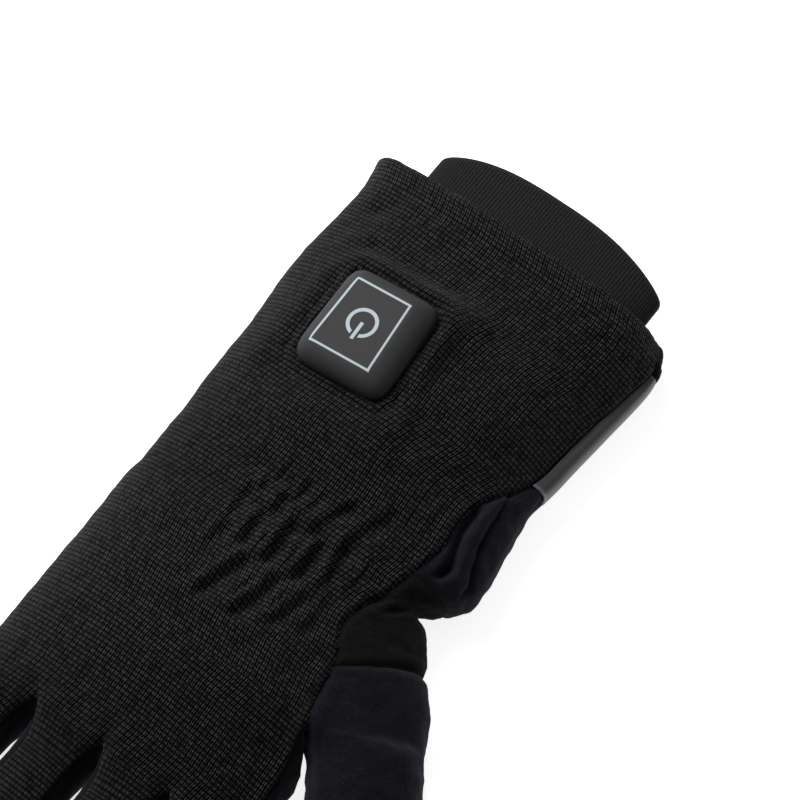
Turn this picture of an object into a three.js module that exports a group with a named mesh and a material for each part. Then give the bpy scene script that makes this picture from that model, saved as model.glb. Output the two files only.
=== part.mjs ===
// A right-hand heated glove, lying palm down: a knitted back, a smooth stretch palm, side
// strips between the fingers, a thumb with its gusset, an elastic band inside the cuff, a
// coated tape on the thumb side of the cuff, and a soft rubber power button.
// Millimetres, +Z up. The fingers point to -Y, the cuff opens to +Y, the thumb is on +X,
// and the origin is under the middle of the glove, on the surface it lies on.
import * as THREE from "three";

// Cuff and hand
const CUFF_WIDTH = 110;
const CUFF_LENGTH = 110; // hem to the seam of the thumb gusset
const HAND_LENGTH = 95; // that seam to the knuckles
const HEIGHT = 31; // the cuff's crown at the button
const SIDE_HEIGHT = 12.4; // where the sides are widest
const FLOOR_DROP = 1.6; // how deep the underside would sink, if the surface let it
const LEFT_SEAM_HEIGHT = 6.2; // the seam low on the little finger's side
const UNDER_SEAM_SETBACK = 5; // the seam under the thumb side, in from the seam above it
const WEB_REACH = 1.5; // the crotch between two digits bulges this far towards the tips

// Cloth
const CLOTH_WALL = 2.2;
const HEM_WALL = 3.4; // the back's edge is turned in at the cuff
const GAP = 0.3; // between any two pieces

// Gathers across the wrist, and folds of the slack cloth on the thumb side
const GATHER_DEPTH = 1.5;
const FOLD_DEPTH = 1.5;
const KNUCKLE_DIP = 2.2;

// Digits
const THUMB_LENGTH = 52; // from its crotch
const THUMB_WIDTH = 34;
const THUMB_HEIGHT = 26;
const THUMB_ANGLE = 36.9; // degrees outwards from the fingers
const FINGER_GAP = 1.6; // between two fingers at their crotch
const FINGERS = table(
  ["length", "height", "lean"],
  [72, 21.5, -0.06], // little
  [93, 23, -0.025], // ring
  [101, 23.5, 0.01], // middle
  [91, 23, 0.05], // index
);

// Elastic band inside the cuff
const BAND_WIDTH = 83;
const BAND_HEIGHT = 12;
const BAND_WALL = 2;
const BAND_REACH = 18.9; // out of the cuff at its middle
const BAND_CORNER_REACH = 10.5; // out of the cuff at its two corners
const BAND_SHIFT = 3.6; // towards the thumb from the cuff's middle
const BAND_TOP_CLEARANCE = 1; // under the hem

// Coated tape on the cuff's thumb side
const TAPE_THICK = 0.9;

// Rubber power button
const BUTTON_LENGTH = 35.5;
const BUTTON_WIDTH = 32.5;
const BUTTON_HEIGHT = 6.2;
const BUTTON_FACE_LENGTH = 25.5; // the flat printed top
const BUTTON_FACE_WIDTH = 21.5;
const BUTTON_FACE_TAPER = 0.06; // the face narrows to the cuff by this share
const BUTTON_FACE_ACROSS = -1.5; // the face lies off the button's middle
const BUTTON_FACE_ALONG = 0.5;
const BUTTON_ALONG = 56.7; // from the hem
const BUTTON_ACROSS = -16.1; // from the cuff's middle
const BUTTON_TURN = 2.5; // degrees
const BUTTON_TILT = [7, -3]; // degrees of its seat: down to the little finger's side, and to the fingers
const SEAT_SINK = 0.7; // below the cloth's own crown there
const SEAT_MARGIN = 3; // of flat cloth round it
const SEAT_BLEND = 12; // over which the cloth leaves that plane

// Columns of the net round a section, from the low seam on the little finger's side
const FINGER_COLUMNS = 6; // over the back of one finger
const PALM_FINGER_COLUMNS = 3; // under it
const BACK_COLUMNS = 4 * FINGER_COLUMNS;
const PALM_COLUMNS = 4 * PALM_FINGER_COLUMNS;
const THUMB_COLUMNS = 10; // round the thumb side, from the seam above to the seam below
const THUMB_WEB_COLUMNS = 4;
const WEB_COLUMNS = 3; // down the side of a finger that faces its neighbour
const TAPE_COLUMNS = 7;

// One row of each section, from the hem to the knuckles.
// at: 0 to 1 along the cuff, 1 to 2 along the hand
// left, knit, right: the little finger's side, the seam of the knitted back and the thumb
//   side, as shares of half the cuff's width from its middle
// turn: how far the thumb side lies nearer to the hem than the rest of its row, as the same share
// top, edge: the crown and that seam, as shares of the height
// round, fall: exponents of the rise on the little finger's side and of the fall to the seam
// gather: the puckers' depth, with its valleys on even columns, or on odd ones where negative
// fold: the depth of the folds on the thumb side
// piece: what the thumb side is made of, down to the next row
const ROWS = table(
  ["at", "left", "knit", "right", "turn", "top", "edge", "round", "fall", "gather", "fold", "piece"],
  [0.0, 0.995, 0.955, 0.985, 0, 0.85, 0.46, 2.8, 7.0, 0, 0, "palm_panel"],
  [0.04, 0.977, 0.99, 1.015, 0, 0.87, 0.47, 3.1, 6.5, 0, 0, "palm_panel"],
  [0.09, 0.958, 1.012, 1.05, 0, 0.885, 0.48, 3.0, 6.0, 0, 0, "palm_panel"],
  [0.17, 0.956, 1.0, 1.05, 0, 0.9, 0.5, 2.8, 5.5, 0, 0, "palm_panel"],
  [0.26, 0.969, 0.967, 1.034, 0, 0.925, 0.51, 2.6, 5.0, 0, 0, "palm_panel"],
  [0.35, 0.985, 0.945, 1.018, 0, 0.96, 0.52, 2.4, 4.5, 0, 0, "palm_panel"],
  [0.43, 0.991, 0.925, 1.003, 0, 0.985, 0.525, 2.2, 4.2, 0, 0, "palm_panel"],
  [0.5, 0.984, 0.908, 0.993, 0, 1.0, 0.53, 2.05, 4.0, 0, 0, "palm_panel"],
  [0.56, 0.971, 0.888, 0.978, 0, 0.997, 0.54, 2.05, 3.7, 0, 0, "palm_panel"],
  [0.63, 0.955, 0.835, 0.968, 0, 0.988, 0.64, 2.1, 3.1, 0, 0.4, "palm_panel"],
  [0.71, 0.951, 0.75, 0.988, 0, 0.967, 0.74, 2.15, 2.5, 0, 0.9, "palm_panel"],
  [0.79, 0.951, 0.735, 1.016, 0, 0.947, 0.78, 2.2, 2.2, 0, 1.0, "palm_panel"],
  [0.865, 0.947, 0.738, 1.038, 0, 0.92, 0.77, 2.2, 2.2, 0, 0.9, "palm_panel"],
  [0.925, 0.936, 0.725, 1.035, 0, 0.9, 0.76, 2.25, 2.2, -0.4, 0.5, "palm_panel"],
  [0.98, 0.935, 0.695, 0.951, -0.02, 0.88, 0.75, 2.3, 2.2, -1.0, 0, "thumb_gusset"],
  [1.035, 0.931, 0.67, 0.815, -0.01, 0.865, 0.73, 2.3, 2.2, 0.1, 0, "thumb_gusset"],
  [1.085, 0.927, 0.64, 0.89, 0.03, 0.86, 0.72, 2.3, 2.2, 0.8, 0, "thumb_gusset"],
  [1.135, 0.924, 0.608, 0.958, 0.055, 0.86, 0.72, 2.3, 2.2, 1.0, 0, "thumb_gusset"],
  [1.19, 0.927, 0.575, 1.012, 0.08, 0.875, 0.73, 2.3, 2.2, 0.5, 0, "thumb_gusset"],
  [1.26, 0.93, 0.585, 1.04, 0.145, 0.905, 0.75, 2.3, 2.2, -0.2, 0, "thumb_gusset"],
  [1.32, 0.926, 0.65, 1.05, 0.22, 0.93, 0.765, 2.3, 2.2, -0.5, 0, "thumb_gusset"],
  [1.37, 0.922, 0.685, 1.05, 0.285, 0.95, 0.77, 2.3, 2.2, -0.3, 0, "thumb"],
  [1.43, 0.922, 0.708, 1.165, 0.31, 0.97, 0.78, 2.3, 2.2, 0, 0, "thumb"],
  [1.5, 0.922, 0.728, 1.25, 0.305, 0.99, 0.79, 2.3, 2.2, 0, 0, "thumb"],
  [1.575, 0.921, 0.773, 1.33, 0.31, 1.0, 0.8, 2.3, 2.2, 0, 0, "hand_side"],
  [1.67, 0.92, 0.8, 0.862, 0, 1.0, 0.68, 2.3, 2.3, 0, 0, "hand_side"],
  [1.79, 0.917, 0.83, 0.89, 0, 0.97, 0.64, 2.4, 2.5, 0, 0, "hand_side"],
  [1.9, 0.913, 0.84, 0.902, 0, 0.92, 0.61, 2.5, 2.7, 0, 0, "hand_side"],
  [2.0, 0.91, 0.84, 0.906, 0, 0.84, 0.58, 2.6, 3.0, 0, 0, "hand_side"],
);
const ROW_OF_CROTCH = ROWS.findIndex((row) => row.piece === "hand_side");
const TAPE_ROWS = [2, 8];

// Where the columns lie, as shares of the girth of the back or of the palm: the back's are
// close together over the gathers at the wrist, and at the knuckles both lead into the fingers
const GATHER_COLUMNS = [6, 18];
const WRIST_BACK = [0, 0.345, 0.6085, 0.872, 1];
const KNUCKLE_BACK = [0, 0.34, 0.56, 0.78, 1];
const WRIST_PALM = [0, 0.25, 0.5, 0.75, 1];
const KNUCKLE_PALM = [0, 0.17, 0.43, 0.69, 1];
const KNUCKLE_BLEND = [1.3, 1.9]; // from the wrist's places to the knuckles'
const CROWN = 0.5; // the crown's place between the side and the seam, as a share

// The fold's valleys and ridges over the first columns past the knit's seam
const FOLD_PATTERN = [-0.8, 0.55, -0.7, 0.4];

// A ring along a digit: how far it is, as a share of the length, and its size, as a share
const DIGIT_RINGS = table(
  ["along", "size"],
  [0.1, 1.0],
  [0.28, 1.0],
  [0.46, 0.985],
  [0.64, 0.955],
  [0.8, 0.89],
  [0.91, 0.73],
  [0.975, 0.46],
);

// Rings of the band: 0 where it is sewn to the cuff's lining, 1 at its mouth
const BAND_SEAM_ROW = 4;
const BAND_RINGS = table(["flare", "along"], [1, 0], [0.55, 0.14], [0.1, 0.36], [0, 0.62], [0, 1]);

const SIDE_ROUND = 2.2;
const UNDER_ROUND = 3.4;
const DIGIT_ROUND = 2.3;
const HALF = CUFF_WIDTH / 2;
const FINE = 90; // points of each half of a section's outline, before the net is laid on it

const COLOURS = {
  back_panel: [0x24262c, 0.92],
  palm_panel: [0x12131a, 0.78],
  fourchette: [0x15161d, 0.8],
  thumb_gusset: [0x1c1c1d, 0.88],
  thumb: [0x12131a, 0.78],
  inner_cuff_band: [0x25262a, 0.7],
  side_tape: [0x393a40, 0.5],
  power_button: [0x35363a, 0.55],
};

function table(names, ...rows) {
  return rows.map((row) => Object.fromEntries(names.map((name, i) => [name, row[i]])));
}

function mix(a, b, share) {
  return a + (b - a) * share;
}

function smooth(share) {
  const t = Math.min(Math.max(share, 0), 1);
  return t * t * (3 - 2 * t);
}

function power(base, exponent) {
  return Math.pow(Math.max(base, 0), exponent);
}

function radians(degrees) {
  return (degrees * Math.PI) / 180;
}

// The skin: a net of points and of faces that run anticlockwise seen from outside
const points = [];
const faces = [];

function addPoint(x, y, z) {
  points.push({ at: new THREE.Vector3(x, y, z), lift: 0 });
  return points.length - 1;
}

function addFace(piece, ...corners) {
  faces.push({ piece, corners });
}

function rowDistance(at) {
  return Math.min(at, 1) * CUFF_LENGTH + Math.max(at - 1, 0) * HAND_LENGTH;
}

// One section's sizes: plan distances across from the little finger's side, and heights
function sectionOf(row) {
  const y = -rowDistance(row.at);
  const left = new THREE.Vector2(-row.left * HALF, y);
  const knit = new THREE.Vector2(row.knit * HALF, y);
  const right = new THREE.Vector2(row.right * HALF, y + row.turn * HALF);
  const across = knit.x - left.x;
  const width = across + right.distanceTo(knit);
  return { row, left, knit, right, across, width, top: row.top * HEIGHT, edge: row.edge * HEIGHT };
}

function planPoint(section, distance) {
  const { left, knit, right, across, width } = section;
  if (distance <= across) return new THREE.Vector2(left.x + distance, left.y);
  return knit.clone().lerp(right, (distance - across) / (width - across));
}

function topHeight(section, distance) {
  const { row, across, width, top, edge } = section;
  const rise = top - SIDE_HEIGHT;
  if (distance > across) {
    const out = (distance - across) / (width - across);
    return SIDE_HEIGHT + (edge - SIDE_HEIGHT) * power(1 - power(out, SIDE_ROUND), 1 / SIDE_ROUND);
  }
  const share = distance / across;
  if (share < CROWN) {
    return SIDE_HEIGHT + rise * power(1 - power(1 - share / CROWN, row.round), 1 / row.round);
  }
  return top - (top - edge) * power((share - CROWN) / (1 - CROWN), row.fall);
}

function underHeight(section, distance) {
  const out = Math.abs(1 - (2 * distance) / section.width);
  const drop = (SIDE_HEIGHT + FLOOR_DROP) * power(1 - power(out, UNDER_ROUND), 1 / UNDER_ROUND);
  return Math.max(SIDE_HEIGHT - drop, 0);
}

// The section's outline as close points, from the low seam on the little finger's side over
// the back and the thumb side to the same seam, with the girth at each seam
function outlineOf(section) {
  const outline = [];
  const push = (distance, z) => {
    const last = outline[outline.length - 1];
    const girth = last ? last.girth + Math.hypot(distance - last.distance, z - last.z) : 0;
    outline.push({ distance, z, girth });
  };
  const easedShare = (i) => (1 - Math.cos((Math.PI * i) / FINE)) / 2;
  const under = [];
  for (let i = 0; i <= FINE; i++) {
    const distance = section.width * easedShare(i);
    under.push([distance, underHeight(section, distance)]);
  }
  const seam = under.findIndex(([, z]) => z < LEFT_SEAM_HEIGHT);
  for (let i = seam; i > 0; i--) push(...under[i]);
  for (let i = 0; i <= FINE; i++) {
    const distance = section.width * easedShare(i);
    push(distance, topHeight(section, distance));
  }
  for (let i = FINE - 1; i >= seam; i--) push(...under[i]);
  return outline;
}

function girthWhere(outline, test) {
  return outline.find(test).girth;
}

function atGirth(outline, girth) {
  const i = Math.max(
    1,
    outline.findIndex((p) => p.girth >= girth - 1e-6),
  );
  const a = outline[i - 1];
  const b = outline[i];
  const share = (girth - a.girth) / (b.girth - a.girth || 1);
  return { distance: mix(a.distance, b.distance, share), z: mix(a.z, b.z, share) };
}

// The place of a column as a share of the girth: each finger's columns lie evenly between two
// of the given places
function columnShare(column, columnsEach, wrist, knuckle, at) {
  const finger = Math.min(Math.floor(column / columnsEach), FINGERS.length - 1);
  const within = column / columnsEach - finger;
  const place = (places) => mix(places[finger], places[finger + 1], within);
  const [from, to] = KNUCKLE_BLEND;
  return mix(place(wrist), place(knuckle), smooth((at - from) / (to - from)));
}

function gatherLift(row, column) {
  const [first, last] = GATHER_COLUMNS;
  if (!row.gather || column < first || column > last) return 0;
  const fade = column === first || column === last ? 0.4 : 1;
  const valley = (column % 2 === 0) === row.gather > 0;
  return GATHER_DEPTH * Math.abs(row.gather) * fade * (valley ? -1 : 0.5);
}

// The points of one row of the net, in order round the section
function layRow(row) {
  const section = sectionOf(row);
  const outline = outlineOf(section);
  const whole = outline[outline.length - 1].girth;
  const onTop = (p) => p.distance >= section.across && p.z > SIDE_HEIGHT;
  const knitGirth = girthWhere(outline, onTop);
  const sideGirth = girthWhere(outline, (p) => p.distance >= section.width - 1e-6);
  const underSeam = section.across - UNDER_SEAM_SETBACK;
  const underGirth = girthWhere(outline, (p) => p.girth > sideGirth && p.distance <= underSeam);
  const sideColumns = row.turn === 0 && row.at > 1.6 ? THUMB_WEB_COLUMNS : THUMB_COLUMNS;
  const ring = [];
  const lay = (girth, lift = 0) => {
    const { distance, z } = atGirth(outline, girth);
    const plan = planPoint(section, distance);
    const index = addPoint(plan.x, plan.y, z);
    points[index].lift = lift;
    ring.push(index);
  };
  for (let i = 0; i <= BACK_COLUMNS; i++) {
    const lift = i === BACK_COLUMNS ? FOLD_DEPTH * row.fold * FOLD_PATTERN[0] : gatherLift(row, i);
    const share = columnShare(i, FINGER_COLUMNS, WRIST_BACK, KNUCKLE_BACK, row.at);
    lay(share * knitGirth, lift);
  }
  for (let i = 1; i < sideColumns; i++) {
    const fold = FOLD_PATTERN[i] ?? 0;
    lay(mix(knitGirth, underGirth, i / sideColumns), FOLD_DEPTH * row.fold * fold);
  }
  for (let i = 0; i < PALM_COLUMNS; i++) {
    const share = columnShare(i, PALM_FINGER_COLUMNS, WRIST_PALM, KNUCKLE_PALM, row.at);
    lay(mix(underGirth, whole, share));
  }
  return ring;
}

// The line of points down a crotch, from the point above it to the point below it
function layWeb(above, below, columns, outwards) {
  const line = [];
  for (let i = 1; i < columns; i++) {
    const share = i / columns;
    const at = points[above].at.clone().lerp(points[below].at, share);
    at.addScaledVector(outwards, WEB_REACH * Math.sin(Math.PI * share));
    line.push(addPoint(at.x, at.y, at.z));
  }
  return line;
}

// Faces between two rings of the same number of points
function joinRings(near, far, pieceOf, closed = true) {
  const count = closed ? near.length : near.length - 1;
  for (let j = 0; j < count; j++) {
    const next = (j + 1) % near.length;
    addFace(pieceOf(j), near[j], far[j], far[next], near[next]);
  }
}

// A finger or thumb grows from a root ring. It lies on the surface, and its rings follow
// an axis from the root's middle
function growDigit({ root, angles, origin, axis, length, width, height, pieceOf, tipPieceOf }) {
  const aside = new THREE.Vector3(-axis.y, axis.x, 0);
  let near = root;
  for (const { along, size } of DIGIT_RINGS) {
    const far = angles.map((angle) => {
      const across = Math.cos(angle);
      const up = Math.sin(angle);
      const norm = power(power(Math.abs(across), DIGIT_ROUND) + power(Math.abs(up), DIGIT_ROUND), -1 / DIGIT_ROUND);
      const at = origin.clone().addScaledVector(axis, along * length);
      at.addScaledVector(aside, (across * norm * size * width) / 2);
      const middle = height * mix(0.5, 0.44, 1 - size);
      at.z = Math.max(middle + (up * norm * size * height) / 2 - FLOOR_DROP / 2, 0);
      return addPoint(at.x, at.y, at.z);
    });
    joinRings(near, far, pieceOf);
    near = far;
  }
  const tip = origin.clone().addScaledVector(axis, length);
  const tipIndex = addPoint(tip.x, tip.y, height * 0.42);
  near.forEach((corner, j) => addFace(tipPieceOf(j), corner, tipIndex, near[(j + 1) % near.length]));
}

// Angles of a ring's points, from one seam angle to the next with a number of columns each
function seamAngles(...arcs) {
  const angles = [];
  for (const { from, to, columns } of arcs) {
    for (let i = 0; i < columns; i++) angles.push(radians(mix(from, to, i / columns)));
  }
  return angles;
}

// Button seat: the plane that the cloth takes under the button
const seat = {
  x: BUTTON_ACROSS,
  y: -BUTTON_ALONG,
  slopeX: Math.tan(radians(BUTTON_TILT[0])),
  slopeY: -Math.tan(radians(BUTTON_TILT[1])),
};

function heightOnCuff(x, y) {
  const at = -y / CUFF_LENGTH;
  const after = ROWS.findIndex((row) => row.at > at);
  const heights = [ROWS[after - 1], ROWS[after]].map((row) => {
    const section = sectionOf(row);
    return { at: row.at, z: topHeight(section, x - section.left.x) };
  });
  return mix(heights[0].z, heights[1].z, (at - heights[0].at) / (heights[1].at - heights[0].at));
}
seat.z = heightOnCuff(seat.x, seat.y) - SEAT_SINK;

function seatHeight(x, y) {
  return seat.z + seat.slopeX * (x - seat.x) + seat.slopeY * (y - seat.y);
}

function flattenSeat(point) {
  const dx = Math.abs(point.x - seat.x) - BUTTON_WIDTH / 2 - SEAT_MARGIN;
  const dy = Math.abs(point.y - seat.y) - BUTTON_LENGTH / 2 - SEAT_MARGIN;
  const outside = Math.hypot(Math.max(dx, 0), Math.max(dy, 0));
  if (point.z < SIDE_HEIGHT + 1 || outside >= SEAT_BLEND) return;
  point.z = mix(seatHeight(point.x, point.y), point.z, smooth(outside / SEAT_BLEND));
}

// Cuff and hand, from the hem to the knuckles
const rings = ROWS.map(layRow);
const crotchRing = rings[ROW_OF_CROTCH];
const knuckleRing = rings[rings.length - 1];
const thumbAxis = new THREE.Vector3(Math.sin(radians(THUMB_ANGLE)), -Math.cos(radians(THUMB_ANGLE)), 0);
const thumbArc = crotchRing.slice(BACK_COLUMNS, BACK_COLUMNS + THUMB_COLUMNS + 1);
const thumbWeb = layWeb(thumbArc[0], thumbArc[THUMB_COLUMNS], THUMB_WEB_COLUMNS, thumbAxis);
const handRing = [
  ...crotchRing.slice(0, BACK_COLUMNS + 1),
  ...thumbWeb,
  ...crotchRing.slice(BACK_COLUMNS + THUMB_COLUMNS),
];

function pieceOfColumn(row) {
  const sidePiece = row.piece === "hand_side" ? "palm_panel" : row.piece;
  const sideColumns = row.piece === "hand_side" ? THUMB_WEB_COLUMNS : THUMB_COLUMNS;
  return (j) => {
    if (j < BACK_COLUMNS) return "back_panel";
    return j < BACK_COLUMNS + sideColumns ? sidePiece : "palm_panel";
  };
}

for (let i = 0; i + 1 < rings.length; i++) {
  const near = i === ROW_OF_CROTCH ? handRing : rings[i];
  joinRings(near, rings[i + 1], pieceOfColumn(ROWS[i]));
}
for (const { at } of points) flattenSeat(at);

// Thumb
const thumbRoot = [...thumbArc, ...thumbWeb.slice().reverse()];
const thumbOrigin = points[thumbArc[0]].at.clone();
thumbOrigin.lerp(points[thumbArc[THUMB_COLUMNS / 2 - 1]].at, 0.5);
growDigit({
  root: thumbRoot,
  angles: seamAngles({ from: 129, to: -231, columns: thumbRoot.length }),
  origin: thumbOrigin,
  axis: thumbAxis,
  length: THUMB_LENGTH,
  width: THUMB_WIDTH,
  height: THUMB_HEIGHT,
  pieceOf: () => "thumb",
  tipPieceOf: () => "thumb",
});

// Fingers, from the little finger to the index finger
const towardsTips = new THREE.Vector3(0, -1, 0);
const palmStart = BACK_COLUMNS + THUMB_WEB_COLUMNS;
const palmColumnAt = (finger) => palmStart + PALM_COLUMNS - finger * PALM_FINGER_COLUMNS;
const webs = [1, 2, 3].map((finger) => {
  const above = knuckleRing[finger * FINGER_COLUMNS];
  const below = knuckleRing[palmColumnAt(finger)];
  points[above].at.z -= KNUCKLE_DIP;
  return layWeb(above, below, WEB_COLUMNS, towardsTips);
});

FINGERS.forEach((finger, index) => {
  const first = index === 0;
  const last = index === FINGERS.length - 1;
  const back = knuckleRing.slice(index * FINGER_COLUMNS, (index + 1) * FINGER_COLUMNS + 1);
  const farSide = last ? knuckleRing.slice(BACK_COLUMNS + 1, palmStart) : webs[index];
  const palm = [];
  for (let j = palmColumnAt(index + 1); j <= palmColumnAt(index); j++) palm.push(knuckleRing[j % knuckleRing.length]);
  const nearSide = first ? [] : webs[index - 1].slice().reverse();
  if (first) palm.pop();
  const root = [...back, ...farSide, ...palm, ...nearSide];
  const seams = { back: first ? 208 : 135, far: 45, under: -45, near: first ? -152 : -135 };
  const arcs = [
    { from: seams.back, to: seams.far, columns: FINGER_COLUMNS },
    { from: seams.far, to: seams.under, columns: farSide.length + 1 },
    { from: seams.under, to: seams.near, columns: PALM_FINGER_COLUMNS },
  ];
  if (!first) arcs.push({ from: seams.near, to: seams.back - 360, columns: WEB_COLUMNS });
  const farStart = FINGER_COLUMNS;
  const palmFrom = farStart + farSide.length + 1;
  const nearFrom = palmFrom + PALM_FINGER_COLUMNS;
  const sideOf = (j) => {
    if (j < farStart) return "back_panel";
    if (j < palmFrom) return last ? "palm_panel" : "fourchette_" + (index + 1);
    return j < nearFrom ? "palm_panel" : "fourchette_" + index;
  };
  const leftX = points[back[0]].at.x;
  const rightX = points[knuckleRing[last ? BACK_COLUMNS + 2 : (index + 1) * FINGER_COLUMNS]].at.x;
  const start = first ? Math.min(...palm.concat(back).map((j) => points[j].at.x)) : leftX;
  const root_y = points[back[0]].at.y;
  growDigit({
    root,
    angles: seamAngles(...arcs),
    origin: new THREE.Vector3((start + rightX) / 2, root_y, 0),
    axis: new THREE.Vector3(finger.lean, -1, 0).normalize(),
    length: finger.length,
    width: rightX - start - FINGER_GAP,
    height: finger.height,
    pieceOf: sideOf,
    tipPieceOf: (j) => (sideOf(j).startsWith("fourchette") ? "back_panel" : sideOf(j)),
  });
});

// Normals of the whole skin, so that neighbouring pieces meet in one smooth surface
function faceNormal(corners) {
  const total = new THREE.Vector3();
  for (let i = 1; i + 1 < corners.length; i++) {
    const a = points[corners[i]].at.clone().sub(points[corners[0]].at);
    const b = points[corners[i + 1]].at.clone().sub(points[corners[0]].at);
    total.add(a.cross(b));
  }
  return total;
}

for (const point of points) point.normal = new THREE.Vector3();
for (const { corners } of faces) {
  const normal = faceNormal(corners);
  for (const corner of corners) points[corner].normal.add(normal);
}
for (const point of points) point.normal.normalize();

// A closed solid from a stretch of the skin: its outer face, its inner face and the edges
// between them. It stops half a gap short of every neighbour
function clothSolid(name, ownFaces, { outer = () => 0, wall }) {
  const edges = new Map();
  for (const { corners } of ownFaces) {
    corners.forEach((a, i) => edges.set(a + "_" + corners[(i + 1) % corners.length], { a, b: corners[(i + 1) % corners.length], corners }));
  }
  const rim = [...edges.values()].filter(({ a, b }) => !edges.has(b + "_" + a));
  const inwards = new Map();
  for (const { a, b, corners } of rim) {
    const along = points[b].at.clone().sub(points[a].at);
    const into = faceNormal(corners).cross(along).normalize();
    for (const corner of [a, b]) inwards.set(corner, [...(inwards.get(corner) ?? []), into]);
  }
  const insetOf = (corner) => {
    const found = inwards.get(corner);
    if (!found) return new THREE.Vector3();
    const sum = found.reduce((total, v) => total.add(v), new THREE.Vector3());
    const length = Math.max(sum.length(), 1);
    return sum.multiplyScalar((GAP / 2) * (found.length / length / length));
  };
  const index = new Map();
  const positions = [];
  for (const corner of new Set(ownFaces.flatMap(({ corners }) => corners))) {
    index.set(corner, positions.length / 3);
    const { at, normal } = points[corner];
    const inset = insetOf(corner);
    const face = at.clone().add(inset).addScaledVector(normal, outer(corner));
    face.z = Math.max(face.z, 0);
    const inside = face.clone().addScaledVector(normal, -wall(corner));
    positions.push(...face.toArray(), ...inside.toArray());
  }
  const triangles = [];
  const out = (corner) => index.get(corner);
  const inn = (corner) => index.get(corner) + 1;
  for (const { corners } of ownFaces) {
    for (let i = 1; i + 1 < corners.length; i++) {
      triangles.push(out(corners[0]), out(corners[i]), out(corners[i + 1]));
      triangles.push(inn(corners[0]), inn(corners[i + 1]), inn(corners[i]));
    }
  }
  // Two neighbours split the strip between them along the same diagonal
  for (const { a, b } of rim) {
    if (a < b) triangles.push(out(b), out(a), inn(b), out(a), inn(a), inn(b));
    else triangles.push(out(b), out(a), inn(a), out(b), inn(a), inn(b));
  }
  return meshOf(name, positions, triangles);
}

function meshOf(name, positions, triangles) {
  const geometry = new THREE.BufferGeometry();
  geometry.setAttribute("position", new THREE.Float32BufferAttribute(positions, 3));
  geometry.setIndex(triangles);
  geometry.computeVertexNormals();
  const [color, roughness] = COLOURS[name] ?? COLOURS[name.split("_")[0]];
  const mesh = new THREE.Mesh(geometry, new THREE.MeshStandardMaterial({ color, roughness, metalness: 0 }));
  mesh.name = name;
  return mesh;
}

const facesOf = (piece) => faces.filter((face) => face.piece === piece);
const liftOf = (corner) => points[corner].lift;
const hemPoints = new Set([...rings[0], ...rings[1]]);

// Tape: the stretch of the thumb side that it covers, where the palm's cloth lies lower
const tapeCorners = new Set();
const tapeFaces = [];
for (let i = TAPE_ROWS[0]; i < TAPE_ROWS[1]; i++) {
  for (let j = BACK_COLUMNS; j < BACK_COLUMNS + TAPE_COLUMNS; j++) {
    const corners = [rings[i][j], rings[i + 1][j], rings[i + 1][j + 1], rings[i][j + 1]];
    tapeFaces.push({ corners });
    for (const corner of corners) tapeCorners.add(corner);
  }
}
const palmLift = (corner) => liftOf(corner) - (tapeCorners.has(corner) ? TAPE_THICK + GAP : 0);

// Elastic band: a flattened tube, sewn to the cuff's lining inside and open at both ends
function bandMesh() {
  const seam = rings[BAND_SEAM_ROW].map((corner) => {
    const { at, normal } = points[corner];
    const wall = CLOTH_WALL + (palmLift(corner) < 0 ? TAPE_THICK + GAP : 0);
    return { at: at.clone().addScaledVector(normal, -wall - GAP), normal };
  });
  const hemTop = ROWS[0].top * HEIGHT - HEM_WALL - BAND_TOP_CLEARANCE;
  const middleZ = hemTop - BAND_HEIGHT / 2;
  const middleX = BAND_SHIFT;
  const seamCentre = new THREE.Vector3(middleX, points[rings[BAND_SEAM_ROW][0]].at.y, middleZ);
  const outerRing = (ring, inset) =>
    seam.map(({ at, normal }, j) => {
      const angle = Math.atan2((at.z - middleZ) / (HEIGHT / 2), (at.x - middleX) / HALF);
      const across = Math.cos(angle);
      const up = Math.sin(angle);
      const roundness = across < 0 ? 4 : 3;
      const norm = power(power(Math.abs(across), roundness) + power(Math.abs(up), roundness), -1 / roundness);
      const x = middleX + across * norm * (BAND_WIDTH / 2 - inset);
      const z = middleZ + up * norm * (BAND_HEIGHT / 2 - inset);
      const corner = power(Math.abs(x - middleX) / (BAND_WIDTH / 2), x < 0 ? 3 : 2.4);
      const mouthY = mix(BAND_REACH, BAND_CORNER_REACH, corner);
      const tube = new THREE.Vector3(x, mix(seamCentre.y, mouthY, ring.along), z);
      const sewn = at.clone().addScaledVector(normal, -inset);
      return tube.lerp(new THREE.Vector3(sewn.x, tube.y, sewn.z), ring.flare);
    });
  const skins = [0, BAND_WALL].map((inset) => BAND_RINGS.map((ring) => outerRing(ring, inset)));
  const positions = [];
  const indexOf = (skin, ring, j) => (skin * BAND_RINGS.length + ring) * seam.length + (j % seam.length);
  for (const skin of skins) for (const ring of skin) for (const at of ring) positions.push(...at.toArray());
  const triangles = [];
  const quad = (a, b, c, d) => triangles.push(a, b, c, a, c, d);
  for (let j = 0; j < seam.length; j++) {
    for (let r = 0; r + 1 < BAND_RINGS.length; r++) {
      quad(indexOf(0, r, j), indexOf(0, r, j + 1), indexOf(0, r + 1, j + 1), indexOf(0, r + 1, j));
      quad(indexOf(1, r, j), indexOf(1, r + 1, j), indexOf(1, r + 1, j + 1), indexOf(1, r, j + 1));
    }
    const mouth = BAND_RINGS.length - 1;
    quad(indexOf(0, 0, j), indexOf(1, 0, j), indexOf(1, 0, j + 1), indexOf(0, 0, j + 1));
    quad(indexOf(0, mouth, j), indexOf(0, mouth, j + 1), indexOf(1, mouth, j + 1), indexOf(1, mouth, j));
  }
  return meshOf("inner_cuff_band", positions, triangles);
}

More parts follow.
